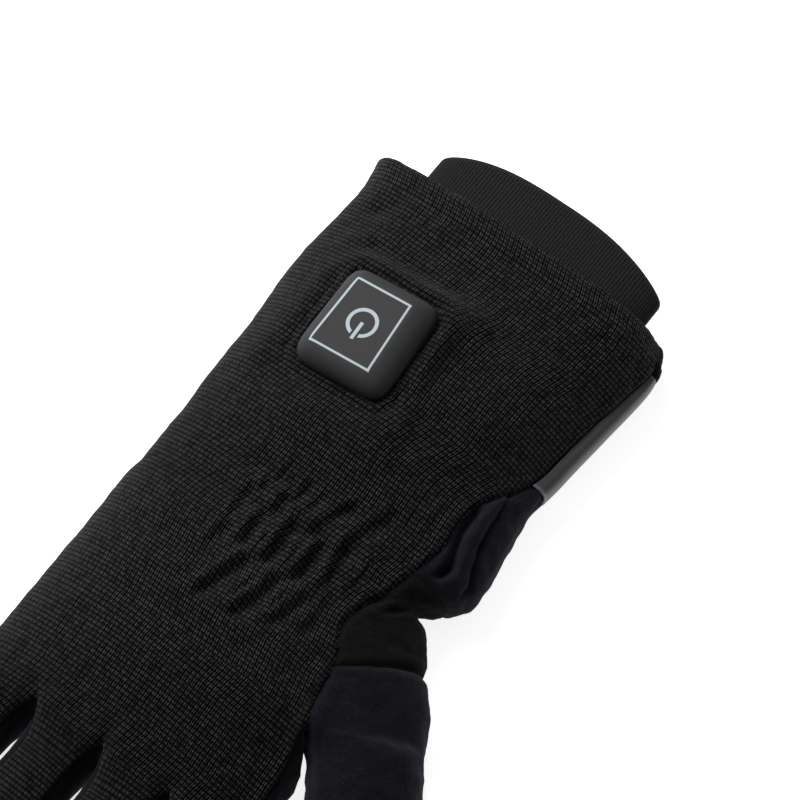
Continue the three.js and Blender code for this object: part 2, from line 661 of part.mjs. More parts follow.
// Button: a pillow of soft rubber with a flat top, standing square on its seat
function buttonMesh() {
  const levels = table(
    ["rise", "length", "width", "corner"],
    [0, 1, 1, 7],
    [0.3, 0.985, 0.985, 7],
    [0.72, 0.9, 0.9, 7],
    [0.95, 0.8, 0.78, 7.5],
    [1, BUTTON_FACE_LENGTH / BUTTON_LENGTH, BUTTON_FACE_WIDTH / BUTTON_WIDTH, 8],
  );
  const steps = 36;
  const across = new THREE.Vector3(1, 0, seat.slopeX).normalize();
  const up = new THREE.Vector3(-seat.slopeX, -seat.slopeY, 1).normalize();
  const along = up.clone().cross(across);
  const turn = radians(BUTTON_TURN);
  const centre = new THREE.Vector3(seat.x, seat.y, seat.z).addScaledVector(up, GAP);
  const positions = [];
  for (const level of levels) {
    for (let k = 0; k < steps; k++) {
      const angle = (2 * Math.PI * k) / steps;
      const c = Math.cos(angle);
      const s = Math.sin(angle);
      const norm = power(power(Math.abs(c), level.corner) + power(Math.abs(s), level.corner), -1 / level.corner);
      const half = (s * norm * level.length * BUTTON_LENGTH) / 2;
      const narrow = 1 - BUTTON_FACE_TAPER * level.rise * ((2 * half) / BUTTON_LENGTH);
      const u = ((c * norm * level.width * BUTTON_WIDTH) / 2) * narrow + BUTTON_FACE_ACROSS * level.rise;
      const v = half + BUTTON_FACE_ALONG * level.rise;
      const at = centre.clone().addScaledVector(up, level.rise * BUTTON_HEIGHT);
      at.addScaledVector(across, u * Math.cos(turn) - v * Math.sin(turn));
      at.addScaledVector(along, u * Math.sin(turn) + v * Math.cos(turn));
      positions.push(...at.toArray());
    }
  }
  const top = levels.length - 1;
  positions.push(...centre.toArray(), ...centre.clone().addScaledVector(up, BUTTON_HEIGHT).toArray());
  const triangles = [];
  const indexOf = (level, k) => level * steps + (k % steps);
  for (let k = 0; k < steps; k++) {
    for (let level = 0; level < top; level++) {
      const [a, b] = [indexOf(level, k), indexOf(level, k + 1)];
      const [c, d] = [indexOf(level + 1, k + 1), indexOf(level + 1, k)];
      triangles.push(a, b, c, a, c, d);
    }
    triangles.push(indexOf(0, k + 1), indexOf(0, k), levels.length * steps);
    triangles.push(indexOf(top, k), indexOf(top, k + 1), levels.length * steps + 1);
  }
  return meshOf("power_button", positions, triangles);
}

const glove = new THREE.Group();
glove.add(clothSolid("back_panel", facesOf("back_panel"), {
  outer: liftOf,
  wall: (corner) => (hemPoints.has(corner) ? HEM_WALL : CLOTH_WALL) + liftOf(corner) / 2,
}));
glove.add(clothSolid("palm_panel", facesOf("palm_panel"), {
  outer: palmLift,
  wall: (corner) => CLOTH_WALL + liftOf(corner) / 2,
}));
for (const number of [1, 2, 3]) {
  const name = "fourchette_" + number;
  glove.add(clothSolid(name, facesOf(name), { wall: () => CLOTH_WALL }));
}
glove.add(clothSolid("thumb_gusset", facesOf("thumb_gusset"), { outer: liftOf, wall: () => CLOTH_WALL }));
glove.add(clothSolid("thumb", facesOf("thumb"), { outer: liftOf, wall: () => CLOTH_WALL }));
glove.add(bandMesh());
glove.add(clothSolid("side_tape", tapeFaces, { wall: () => TAPE_THICK }));
glove.add(buttonMesh());

const box = new THREE.Box3().setFromObject(glove);
glove.position.set(-(box.min.x + box.max.x) / 2, -(box.min.y + box.max.y) / 2, -box.min.z);

export default glove;
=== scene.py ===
import math

import bpy
import numpy as np
from mathutils import Matrix, Vector, noise
from mathutils.kdtree import KDTree


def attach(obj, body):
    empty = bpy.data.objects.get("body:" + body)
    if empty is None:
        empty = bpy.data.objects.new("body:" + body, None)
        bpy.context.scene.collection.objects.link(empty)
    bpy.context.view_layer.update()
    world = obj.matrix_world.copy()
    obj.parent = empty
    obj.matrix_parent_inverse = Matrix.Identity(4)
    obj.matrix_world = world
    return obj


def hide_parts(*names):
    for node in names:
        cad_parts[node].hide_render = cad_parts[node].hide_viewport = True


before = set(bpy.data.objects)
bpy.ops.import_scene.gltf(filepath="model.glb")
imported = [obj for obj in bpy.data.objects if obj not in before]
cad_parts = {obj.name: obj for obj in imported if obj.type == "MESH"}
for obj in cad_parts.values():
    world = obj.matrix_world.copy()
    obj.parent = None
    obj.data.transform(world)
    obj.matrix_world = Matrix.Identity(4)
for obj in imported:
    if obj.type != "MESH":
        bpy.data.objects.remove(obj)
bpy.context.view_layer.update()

# Studio: the glove lies palm down on a white table that runs out of sight, under a large soft
# light from the little finger's side. The camera looks down on the cuff from the fingers' side.
HEM_MIDDLE = np.array([-20.63, 143.53, 0.0])  # mm; every place below is measured from here
scene = bpy.context.scene
scene.view_settings.view_transform = "Standard"


def place(points):
    return (np.asarray(points, float) + HEM_MIDDLE) / 1000


LOOK_AT = (-0.7, -61.3, 12.0)
CAMERA_DISTANCE, CLIP_END = 1.2, 20  # m
LENS, SENSOR = 178.2, 36  # mm
view_right = Vector((0.8, 0.6, 0.0))
view_up = Vector((-0.5455, 0.727, 0.4163)).normalized()
view_back = view_right.cross(view_up)
view_turn = Matrix((view_right, view_up, view_back)).transposed().to_4x4()
camera = bpy.data.objects.new("camera", bpy.data.cameras.new("camera"))
camera.data.lens, camera.data.sensor_width, camera.data.clip_end = LENS, SENSOR, CLIP_END
camera.matrix_world = Matrix.Translation(Vector(place(LOOK_AT)) + CAMERA_DISTANCE * view_back) @ view_turn
scene.collection.objects.link(camera)
scene.camera = camera

LIT_MIDDLE = (0, -70, 15)  # both lights point there


def soft_light(name, towards, distance, size, watts):
    """A sheet of light, its distance and size in metres."""
    lamp = bpy.data.objects.new(name, bpy.data.lights.new(name, "AREA"))
    lamp.data.shape = "RECTANGLE"
    lamp.data.size, lamp.data.size_y = size
    lamp.data.energy = watts
    middle = Vector(place(LIT_MIDDLE))
    spot = middle + distance * Vector(towards).normalized()
    facing = (spot - middle).to_track_quat("Z", "Y").to_matrix().to_4x4()
    lamp.matrix_world = Matrix.Translation(spot) @ facing
    scene.collection.objects.link(lamp)


soft_light("window", (-0.85, 0.25, 0.85), 0.55, (0.6, 0.45), 4.0)
soft_light("ceiling", (0.1, 0.35, 1.0), 1.5, (1.2, 1.2), 1.5)
world = bpy.data.worlds.new("studio")
world.use_nodes = True
background = world.node_tree.nodes["Background"].inputs
background["Color"].default_value = (1, 1, 1, 1)
background["Strength"].default_value = 0.1
scene.world = world


class Wire:
    """An output of a finish's nodes. Arithmetic on it adds Math nodes."""

    def __init__(self, finish, socket):
        self.finish, self.socket = finish, socket

    def maths(self, operation, *values):
        return self.finish.node("ShaderNodeMath", {"operation": operation}, dict(enumerate(values)))[0]

    def __add__(self, other):
        return self.maths("ADD", self, other)

    def __sub__(self, other):
        return self.maths("SUBTRACT", self, other)

    def __rsub__(self, other):
        return self.maths("SUBTRACT", other, self)

    def __mul__(self, other):
        return self.maths("MULTIPLY", self, other)

    def __truediv__(self, other):
        return self.maths("DIVIDE", self, other)

    def __pow__(self, other):
        return self.maths("POWER", self, other)

    def __abs__(self):
        return self.maths("ABSOLUTE", self)

    __radd__, __rmul__ = __add__, __mul__

    def least(self, other):
        return self.maths("MINIMUM", self, other)

    def most(self, other):
        return self.maths("MAXIMUM", self, other)

    def clipped(self):
        return self.most(0).least(1)

    def fraction(self):
        return self.maths("FRACT", self)

    def floor(self):
        return self.maths("FLOOR", self)

    def wave(self, period):
        """0 to 1 and back to 0, once in each period."""
        turns = self * 2 * math.pi / period
        return turns.maths("SINE", turns) * 0.5 + 0.5

    def step(self, low, high):
        """0 below low and 1 above high, eased between them; the other way round if low is above high."""
        settings = {"interpolation_type": "SMOOTHSTEP"}
        return self.finish.node("ShaderNodeMapRange", settings, {0: self, 1: low, 2: high, 3: 0.0, 4: 1.0})[0]


class Finish:
    """One material, from its nodes to its shader."""

    def __init__(self, name):
        self.material = bpy.data.materials.new(name)
        self.material.use_nodes = True
        self.tree = self.material.node_tree
        self.tree.nodes.clear()

    def node(self, kind, settings=None, values=None):
        """Adds a node, sets it up, fills its sockets with values or links, and returns its outputs."""
        made = self.tree.nodes.new(kind)
        for name, value in (settings or {}).items():
            setattr(made, name, value)
        for name, value in (values or {}).items():
            if isinstance(value, Wire):
                self.tree.links.new(value.socket, made.inputs[name])
            else:
                made.inputs[name].default_value = value
        outputs = {output.name: Wire(self, output) for output in made.outputs}
        return {**outputs, **{i: Wire(self, output) for i, output in enumerate(made.outputs)}}

    def noise(self, at, scale, detail=2.0, roughness=0.5):
        return self.node(
            "ShaderNodeTexNoise", {}, {"Vector": at, "Scale": scale, "Detail": detail, "Roughness": roughness}
        )[0]

    def blend(self, share, first, second):
        """A colour between two colours."""
        sockets = {0: share, 6: first if isinstance(first, Wire) else (*first, 1)}
        sockets[7] = second if isinstance(second, Wire) else (*second, 1)
        return self.node("ShaderNodeMix", {"data_type": "RGBA"}, sockets)[2]

    def pattern(self):
        """The place on the cut cloth in millimetres: across, along, and both as a vector."""
        at = self.node("ShaderNodeUVMap", {"uv_map": "cloth"})[0]
        parts = self.node("ShaderNodeSeparateXYZ", {}, {0: at})
        return parts[0], parts[1], at

    def bump(self, height, distance, strength=1.0):
        return self.node("ShaderNodeBump", {}, {"Height": height, "Distance": distance, "Strength": strength})[0]

    def surface(self, **sockets):
        """Closes the material: each argument goes to the shader's socket of that name."""
        values = {name.replace("_", " "): value for name, value in sockets.items()}
        shader = self.node("ShaderNodeBsdfPrincipled", {}, values)
        self.node("ShaderNodeOutputMaterial", {}, {0: shader[0]})
        return self.material


def add_object(name, vertices, faces, corner_places, material):
    """A smooth mesh object from millimetre vertices, its faces and the pattern place of each corner."""
    mesh = bpy.data.meshes.new(name)
    mesh.from_pydata(vertices.tolist(), [], faces)
    mesh.uv_layers.new(name="cloth").data.foreach_set("uv", np.asarray(corner_places, float).ravel())
    mesh.polygons.foreach_set("use_smooth", [True] * len(mesh.polygons))
    mesh.materials.append(material)
    made = bpy.data.objects.new(name, mesh)
    scene.collection.objects.link(made)
    return made


table_top = Finish("white_table").surface(
    Base_Color=(0.9, 0.9, 0.9, 1), Roughness=0.9, Emission_Color=(1, 1, 1, 1), Emission_Strength=0.85
)
TABLE_REACH = 3000.0  # mm
corners = TABLE_REACH * np.array([(-1, -1, 0), (1, -1, 0), (1, 1, 0), (-1, 1, 0)])
floor = add_object("floor", corners / 1000, [(0, 1, 2, 3)], corners[:, :2], table_top)

# Glove shell: one net of points over the whole glove, cut into the knitted back, the smooth
# palm, the strips between the fingers, the thumb and its gusset. The real pieces are sewn
# edge to edge over padding, and the back's edge is turned in at the cuff.
HALF, HEIGHT, SIDE = 55.0, 31.0, 12.4  # half the cuff's width, its crown and its widest height
CUFF, HAND = 110.0, 95.0  # hem to thumb gusset, and from there to the knuckles
WALL, HEM_WALL = 2.2, 3.4
BACK, SIDE_COLUMNS, WEB, PALM = 24, 10, 4, 12  # columns of the net round the glove
BACK_EACH, PALM_EACH = BACK // 4, PALM // 4  # to each finger
# Sections from the hem to the knuckles: along, little finger's side, edge of the knit, thumb side
# and its lead in halves of the cuff's width, crown and edge in shares of the height, roundness of
# the rise and of the fall, and the thumb side's piece
ROWS = [
    (0.0, 0.995, 0.955, 0.985, 0, 0.85, 0.46, 2.8, 7.0, "palm_panel"),
    (0.04, 0.977, 0.99, 1.015, 0, 0.87, 0.47, 3.1, 6.5, "palm_panel"),
    (0.09, 0.958, 1.012, 1.05, 0, 0.885, 0.48, 3.0, 6.0, "palm_panel"),
    (0.17, 0.956, 1.0, 1.05, 0, 0.9, 0.5, 2.8, 5.5, "palm_panel"),
    (0.26, 0.969, 0.967, 1.034, 0, 0.925, 0.51, 2.6, 5.0, "palm_panel"),
    (0.35, 0.985, 0.945, 1.018, 0, 0.96, 0.52, 2.4, 4.5, "palm_panel"),
    (0.43, 0.991, 0.925, 1.003, 0, 0.985, 0.525, 2.2, 4.2, "palm_panel"),
    (0.5, 0.984, 0.908, 0.993, 0, 1.0, 0.53, 2.05, 4.0, "palm_panel"),
    (0.56, 0.971, 0.888, 0.978, 0, 0.997, 0.54, 2.05, 3.7, "palm_panel"),
    (0.63, 0.955, 0.835, 0.968, 0, 0.988, 0.64, 2.1, 3.1, "palm_panel"),
    (0.71, 0.951, 0.75, 0.988, 0, 0.967, 0.74, 2.15, 2.5, "palm_panel"),
    (0.79, 0.951, 0.735, 1.016, 0, 0.947, 0.78, 2.2, 2.2, "palm_panel"),
    (0.865, 0.947, 0.738, 1.038, 0, 0.92, 0.77, 2.2, 2.2, "palm_panel"),
    (0.925, 0.936, 0.725, 1.035, 0, 0.9, 0.76, 2.25, 2.2, "palm_panel"),
    (0.98, 0.935, 0.695, 0.951, -0.02, 0.88, 0.75, 2.3, 2.2, "thumb_gusset"),
    (1.035, 0.931, 0.67, 0.815, -0.01, 0.865, 0.73, 2.3, 2.2, "thumb_gusset"),
    (1.085, 0.927, 0.64, 0.89, 0.03, 0.86, 0.72, 2.3, 2.2, "thumb_gusset"),
    (1.135, 0.924, 0.608, 0.958, 0.055, 0.86, 0.72, 2.3, 2.2, "thumb_gusset"),
    (1.19, 0.927, 0.575, 1.012, 0.08, 0.875, 0.73, 2.3, 2.2, "thumb_gusset"),
    (1.26, 0.93, 0.585, 1.04, 0.145, 0.905, 0.75, 2.3, 2.2, "thumb_gusset"),
    (1.32, 0.926, 0.65, 1.05, 0.22, 0.93, 0.765, 2.3, 2.2, "thumb_gusset"),
    (1.37, 0.922, 0.685, 1.05, 0.285, 0.95, 0.77, 2.3, 2.2, "thumb"),
    (1.43, 0.922, 0.708, 1.165, 0.31, 0.97, 0.78, 2.3, 2.2, "thumb"),
    (1.5, 0.922, 0.728, 1.25, 0.305, 0.99, 0.79, 2.3, 2.2, "thumb"),
    (1.575, 0.921, 0.773, 1.33, 0.31, 1.0, 0.8, 2.3, 2.2, "hand_side"),
    (1.67, 0.92, 0.8, 0.862, 0, 1.0, 0.68, 2.3, 2.3, "hand_side"),
    (1.79, 0.917, 0.83, 0.89, 0, 0.97, 0.64, 2.4, 2.5, "hand_side"),
    (1.9, 0.913, 0.84, 0.902, 0, 0.92, 0.61, 2.5, 2.7, "hand_side"),
    (2.0, 0.91, 0.84, 0.906, 0, 0.84, 0.58, 2.6, 3.0, "hand_side"),
]
CROTCH_ROW = 24  # where the thumb leaves the hand
TAPE_ROWS, TAPE_COLUMNS = (2, 8), (24, 31)  # of the net, under the tape
SHELL = ["back_panel", "palm_panel", "fourchette_1", "fourchette_2", "fourchette_3", "thumb_gusset", "thumb"]
UNDER_TAPE = len(SHELL)
STEPS_ACROSS = 90
UNDER_ROUNDNESS, UNDER_DROP = 3.4, 1.6  # the underside sags to the table
EDGE_ROUNDNESS = 2.2  # of the thumb side, from the knit's edge outwards
SEAM_HEIGHT = 6.2  # of the seam on the little finger's side
PALM_INSET = 5  # the palm begins so far inside the knit's edge


def eased(share):
    """0 to 1 with a soft start and end."""
    share = np.clip(share, 0, 1)
    return share * share * (3 - 2 * share)


def along_glove(at):
    """Millimetres from the hem: a row lies at 0 to 1 on the cuff and at 1 to 2 on the hand."""
    return min(at, 1) * CUFF + max(at - 1, 0) * HAND


class Section:
    """The glove cut across at one row: its outline from the low seam on the little finger's side
    over the back and under the palm to the same seam, and the girth at each place of it."""

    def __init__(self, row):
        at, left, knit, right, lead, top, edge, rise, fall = row[:9]
        self.y = -along_glove(at)
        self.left, self.knit = -left * HALF, knit * HALF
        self.right = np.array([right * HALF, self.y + lead * HALF])
        self.across = self.knit - self.left
        self.side = np.hypot(self.right[0] - self.knit, self.right[1] - self.y)
        self.top, self.edge, self.rise, self.fall = top * HEIGHT, edge * HEIGHT, rise, fall
        width = self.across + self.side
        out = width * (1 - np.cos(np.pi * np.arange(STEPS_ACROSS + 1) / STEPS_ACROSS)) / 2
        away = np.clip(abs(1 - 2 * out / width), 0, 1)
        sag = (1 - away**UNDER_ROUNDNESS) ** (1 / UNDER_ROUNDNESS)
        low = np.maximum(SIDE - (SIDE + UNDER_DROP) * sag, 0)
        seam = int(np.argmax(low < SEAM_HEIGHT))
        under = slice(STEPS_ACROSS - 1, seam - 1, -1)
        self.out = np.concatenate([out[seam:0:-1], out, out[under]])
        self.z = np.concatenate([low[seam:0:-1], self.height(out), low[under]])
        self.girth = np.append(0, np.cumsum(np.hypot(np.diff(self.out), np.diff(self.z))))
        at_knit = np.argmax((self.out >= self.across) & (self.z > SIDE))
        at_side = np.argmax(self.out >= width - 1e-6)
        at_under = np.argmax((np.arange(len(self.out)) > at_side) & (self.out <= self.across - PALM_INSET))
        self.knit_girth, self.under_girth = self.girth[at_knit], self.girth[at_under]
        self.crown_girth = self.girth[np.argmax((self.out >= self.across / 2) & (self.z > SIDE))]

    def height(self, out):
        """The upper side's height, from the little finger's side to the thumb's."""
        share = out / self.across
        beyond = np.clip((out - self.across) / self.side, 0, 1)
        past = SIDE + (self.edge - SIDE) * (1 - beyond**EDGE_ROUNDNESS) ** (1 / EDGE_ROUNDNESS)
        before = np.clip(1 - 2 * share, 0, 1)
        up = SIDE + (self.top - SIDE) * (1 - before**self.rise) ** (1 / self.rise)
        down = self.top - (self.top - self.edge) * np.clip(2 * share - 1, 0, 1) ** self.fall
        return np.where(out > self.across, past, np.where(share < 0.5, up, down))

    def points(self, girths):
        """Places on the outline at these girths."""
        out, z = np.interp(girths, self.girth, self.out), np.interp(girths, self.girth, self.z)
        beyond = np.clip((out - self.across) / self.side, 0, 1)
        x = np.where(out <= self.across, self.left + out, self.knit + (self.right[0] - self.knit) * beyond)
        y = self.y + (self.right[1] - self.y) * beyond
        return np.stack([x, y, z], 1)


# The four fingers' borders as shares of the back's and the palm's width, at wrist and knuckles
BACK_AT_WRIST, BACK_AT_KNUCKLES = (0, 0.345, 0.6085, 0.872, 1), (0, 0.34, 0.56, 0.78, 1)
PALM_AT_WRIST, PALM_AT_KNUCKLES = (0, 0.25, 0.5, 0.75, 1), (0, 0.17, 0.43, 0.69, 1)
SPREAD_START, SPREAD_LENGTH = 1.3, 0.6  # the rows over which the one turns into the other


def column_shares(count, each, wrist, knuckle, at):
    """Where the columns lie across a row, with as many of them to each finger."""
    finger = np.minimum(np.arange(count) // each, 3)
    within = np.arange(count) / each - finger
    wrist, knuckle = np.array(wrist), np.array(knuckle)
    by_wrist = wrist[finger] + (wrist[finger + 1] - wrist[finger]) * within
    by_knuckle = knuckle[finger] + (knuckle[finger + 1] - knuckle[finger]) * within
    return by_wrist + (by_knuckle - by_wrist) * eased((at - SPREAD_START) / SPREAD_LENGTH)


net_points, net_faces, net_pieces, net_places = [], [], [], []


def add_points(places):
    """Adds points to the net and returns their numbers."""
    first = len(net_points)
    net_points.extend(np.atleast_2d(places))
    return list(range(first, len(net_points)))


def join_rings(near, far, near_girth, far_girth, near_along, far_along, piece_of):
    """Closes the net between two rings with faces, each with its piece and its place on the cloth."""
    for j in range(len(near)):
        k = (j + 1) % len(near)
        net_faces.append((near[j], far[j], far[k], near[k]))
        net_pieces.append(piece_of(j))
        net_places.append(
            [
                (near_girth[j], near_along),
                (far_girth[j], far_along),
                (far_girth[j + 1], far_along),
                (near_girth[j + 1], near_along),
            ]
        )


rings, girths = [], []
for index, row in enumerate(ROWS):
    section = Section(row)
    columns = SIDE_COLUMNS if index <= CROTCH_ROW else WEB
    back = column_shares(BACK + 1, BACK_EACH, BACK_AT_WRIST, BACK_AT_KNUCKLES, row[0])
    palm = column_shares(PALM, PALM_EACH, PALM_AT_WRIST, PALM_AT_KNUCKLES, row[0])
    side = np.arange(1, columns) / columns
    ends = section.knit_girth, section.under_girth, section.girth[-1]
    girth = np.concatenate(
        [back * ends[0], ends[0] + (ends[1] - ends[0]) * side, ends[1] + (ends[2] - ends[1]) * palm]
    )
    rings.append(add_points(section.points(girth)))
    girths.append(np.append(girth, ends[2]) - section.crown_girth)

# The back's seat for the button is flat and leans to the little finger's side
BUTTON_AT = np.array([-16.1, -56.7])
BUTTON_SIZE = (32.5, 35.5, 6.2)  # across, along, high
SEAT_ROWS, SEAT_SHARES = (7, 8), (0.51, 0.59)  # the rows next to it, and where they count as lying
SEAT_MARGIN, SEAT_SPREAD = 3.0, 12.0  # flat so far round the button, and eased into the cloth beyond
SEAT_DEPTH = 0.7
SEAT_SLOPE = np.array([math.tan(math.radians(7)), math.tan(math.radians(3))])
seat_sections = [Section(ROWS[i]) for i in SEAT_ROWS]
seat_heights = [s.height(np.array([BUTTON_AT[0] - s.left]))[0] for s in seat_sections]
SEAT_Z = float(np.interp(-BUTTON_AT[1] / CUFF, SEAT_SHARES, seat_heights)) - SEAT_DEPTH


def seat_height(points):
    return SEAT_Z + (points[:, :2] - BUTTON_AT) @ SEAT_SLOPE


def flatten_seat(points):
    """Moves the points of the back round the button onto the seat."""
    beyond = abs(points[:, :2] - BUTTON_AT) - np.array(BUTTON_SIZE[:2]) / 2 - SEAT_MARGIN
    outside = np.hypot(*np.maximum(beyond, 0).T)
    free = (points[:, 2] < SIDE + 1) | (outside >= SEAT_SPREAD)
    share = np.where(free, 1, eased(outside / SEAT_SPREAD))
    points[:, 2] += (seat_height(points) - points[:, 2]) * (1 - share)


def hem_side(near, far, girth_near, along):
    """Joins a ring of the turned-in edge to the next one."""
    join_rings(near, far, girth_near, girths[0], *along, lambda j: SHELL[0] if j < BACK else SHELL[1])


HEM_SETBACK, HEM_TURN, HEM_EDGE = 0.7, 1.3, 0.3  # of the outer edge, of the inner edge, and between
ring_shape = np.array([net_points[i] for i in rings[0]])
inside_shape = np.array([net_points[i] for i in rings[2]])
outwards = []
for shape in (ring_shape, inside_shape):
    around = np.roll(shape, -1, 0) - np.roll(shape, 1, 0)
    normal = np.stack([-around[:, 2], np.zeros(len(around)), around[:, 0]], 1)
    outwards.append(normal / np.linalg.norm(normal, axis=1)[:, None])
deep_ring = add_points(inside_shape - outwards[1] * HEM_WALL)
turn_ring = add_points(ring_shape - outwards[0] * HEM_WALL + (0, -HEM_TURN, 0))
edge_ring = add_points(ring_shape - outwards[0] * HEM_WALL * 0.5 + (0, HEM_EDGE, 0))
for i in rings[0]:
    net_points[i] = net_points[i] + (0, -HEM_SETBACK, 0)
hem_side(deep_ring, turn_ring, girths[2], (-12, -4))
hem_side(turn_ring, edge_ring, girths[0], (-4, -2))
hem_side(edge_ring, rings[0], girths[0], (-2, 0))

THUMB_TURN = math.radians(36.9)  # away from the fingers
WEB_BULGE = 1.5
crotch = rings[CROTCH_ROW]
thumb_axis = np.array([math.sin(THUMB_TURN), -math.cos(THUMB_TURN), 0])


def lay_web(above, below, columns, towards):
    """The line of points down a crotch, which bulges a little towards the tips."""
    share = np.arange(1, columns)[:, None] / columns
    line = net_points[above] * (1 - share) + net_points[below] * share
    return add_points(line + towards * WEB_BULGE * np.sin(np.pi * share))


thumb_arc = crotch[BACK : BACK + SIDE_COLUMNS + 1]
thumb_web = lay_web(thumb_arc[0], thumb_arc[-1], WEB, thumb_axis)
hand_ring = crotch[: BACK + 1] + thumb_web + crotch[BACK + SIDE_COLUMNS :]


def side_piece(row, columns):
    """Tells the piece of a face by its column, from one row to the next."""
    name = "palm_panel" if row[9] == "hand_side" else row[9]
    return lambda j: SHELL[0] if j < BACK else (name if j < BACK + columns else SHELL[1])


for i in range(len(ROWS) - 1):
    at_crotch = i == CROTCH_ROW
    near, near_girth = (hand_ring, girths[i + 1]) if at_crotch else (rings[i], girths[i])
    columns = WEB if ROWS[i][9] == "hand_side" else SIDE_COLUMNS
    along = [along_glove(ROWS[k][0]) for k in (i, i + 1)]
    join_rings(near, rings[i + 1], near_girth, girths[i + 1], *along, side_piece(ROWS[i], columns))

# Rings of a finger or thumb: share of its length, and of its width
DIGIT_RINGS = [(0.1, 1.0), (0.28, 1.0), (0.46, 0.985), (0.64, 0.955), (0.8, 0.89), (0.91, 0.73), (0.975, 0.46)]
DIGIT_ROUNDNESS = 2.3
TIP_DROP, TIP_HEIGHT = 0.06, 0.42  # shares of the digit's height
SUNK = 0.8  # how deep the padding gives on the table


def seam_angles(*arcs):
    """Directions round a digit, arc by arc: from, to, and the number of points."""
    return np.radians(np.concatenate([np.linspace(a, b, n, endpoint=False) for a, b, n in arcs]))


def grow_digit(root, angles, origin, axis, size, piece_of, tip_piece_of, root_girth, root_along):
    """A finger or thumb, ring by ring from its root to a rounded tip."""
    length, width, height = size
    aside = np.array([-axis[1], axis[0], 0])
    across, up = np.cos(angles), np.sin(angles)
    norm = (abs(across) ** DIGIT_ROUNDNESS + abs(up) ** DIGIT_ROUNDNESS) ** (-1 / DIGIT_ROUNDNESS)
    near, near_along = root, root_along
    for along, share in DIGIT_RINGS:
        shape = origin + axis * along * length + aside * (across * norm * share * width / 2)[:, None]
        middle = height * (0.5 - TIP_DROP * (1 - share))
        shape[:, 2] = np.maximum(middle + up * norm * share * height / 2 - SUNK, 0)
        far = add_points(shape)
        join_rings(near, far, root_girth, root_girth, near_along, root_along + along * length, piece_of)
        near, near_along = far, root_along + along * length
    tip_place = origin + axis * length
    tip = add_points([(tip_place[0], tip_place[1], height * TIP_HEIGHT)])[0]
    for j in range(len(near)):
        net_faces.append((near[j], tip, near[(j + 1) % len(near)]))
        net_pieces.append(tip_piece_of(j))
        middle = (root_girth[j] + root_girth[j + 1]) / 2
        net_places.append(
            [(root_girth[j], near_along), (middle, root_along + length), (root_girth[j + 1], near_along)]
        )


seat_points = np.array(net_points)
flatten_seat(seat_points)
net_points[:] = list(seat_points)

THUMB_SIZE = (52, 34, 26)  # length, width, height
THUMB_COLUMN, THUMB_ALONG = 7.0, 166.0  # its columns' width and its root's place on the cloth
thumb_root = thumb_arc + thumb_web[::-1]
thumb_start = (net_points[thumb_arc[0]] + net_points[thumb_arc[SIDE_COLUMNS // 2 - 1]]) / 2
thumb_start[2] = 0
grow_digit(
    thumb_root,
    seam_angles((129, -231, len(thumb_root))),
    thumb_start,
    thumb_axis,
    THUMB_SIZE,
    lambda j: "thumb",
    lambda j: "thumb",
    np.arange(len(thumb_root) + 1) * THUMB_COLUMN,
    THUMB_ALONG,
)

knuckles = rings[-1]
palm_start = BACK + WEB
KNUCKLE_DIP, FINGER_GAP, FINGER_COLUMN = 2.2, 1.6, 5.0


def palm_column(finger):
    return palm_start + PALM - finger * PALM_EACH


webs = []
for finger in (1, 2, 3):
    above, below = knuckles[finger * BACK_EACH], knuckles[palm_column(finger)]
    net_points[above] = net_points[above] - (0, 0, KNUCKLE_DIP)
    webs.append(lay_web(above, below, 3, np.array([0.0, -1, 0])))

FINGERS = [(72, 21.5, -0.06), (93, 23, -0.025), (101, 23.5, 0.01), (91, 23, 0.05)]  # length, height, lean
for index, (length, height, lean) in enumerate(FINGERS):
    first, last = index == 0, index == 3
    own_back = slice(index * BACK_EACH, (index + 1) * BACK_EACH + 1)
    back = knuckles[own_back]
    far_side = knuckles[BACK + 1 : palm_start] if last else webs[index]
    palm = [knuckles[j % len(knuckles)] for j in range(palm_column(index + 1), palm_column(index) + 1)]
    near_side = [] if first else webs[index - 1][::-1]
    if first:
        palm.pop()
    seam_back, seam_near = (208, -152) if first else (135, -135)
    arcs = [(seam_back, 45, BACK_EACH), (45, -45, len(far_side) + 1), (-45, seam_near, PALM_EACH)]
    if not first:
        arcs.append((seam_near, seam_back - 360, 3))
    palm_from = BACK_EACH + 1 + len(far_side)

    def piece_of(j, index=index, last=last, palm_from=palm_from):
        if j < BACK_EACH:
            return "back_panel"
        if j < palm_from:
            return "palm_panel" if last else f"fourchette_{index + 1}"
        return "palm_panel" if j < palm_from + PALM_EACH else f"fourchette_{index}"

    def tip_piece_of(j, piece_of=piece_of):
        return "back_panel" if piece_of(j).startswith("fourchette") else piece_of(j)

    left_x = min(net_points[j][0] for j in palm + back) if first else net_points[back[0]][0]
    right_x = net_points[knuckles[BACK + 2 if last else (index + 1) * BACK_EACH]][0]
    axis = np.array([lean, -1.0, 0])
    root = back + far_side + palm + near_side
    back_girth = girths[-1][own_back]
    other_girths = FINGER_COLUMN * np.arange(1, len(root) + 1 - BACK_EACH)
    finger_girth = np.append(back_girth, back_girth[-1] + other_girths)
    grow_digit(
        root,
        seam_angles(*arcs),
        np.array([(left_x + right_x) / 2, net_points[back[0]][1], 0]),
        axis / np.linalg.norm(axis),
        (length, right_x - left_x - FINGER_GAP, height),
        piece_of,
        tip_piece_of,
        finger_girth,
        CUFF + HAND,
    )

piece_index = [SHELL.index(name) for name in net_pieces]
HEM_RINGS = 3  # their faces come first
first_row_face = HEM_RINGS * len(rings[0])
for i in range(*TAPE_ROWS):
    for j in range(*TAPE_COLUMNS):
        piece_index[first_row_face + i * len(rings[0]) + j] = UNDER_TAPE


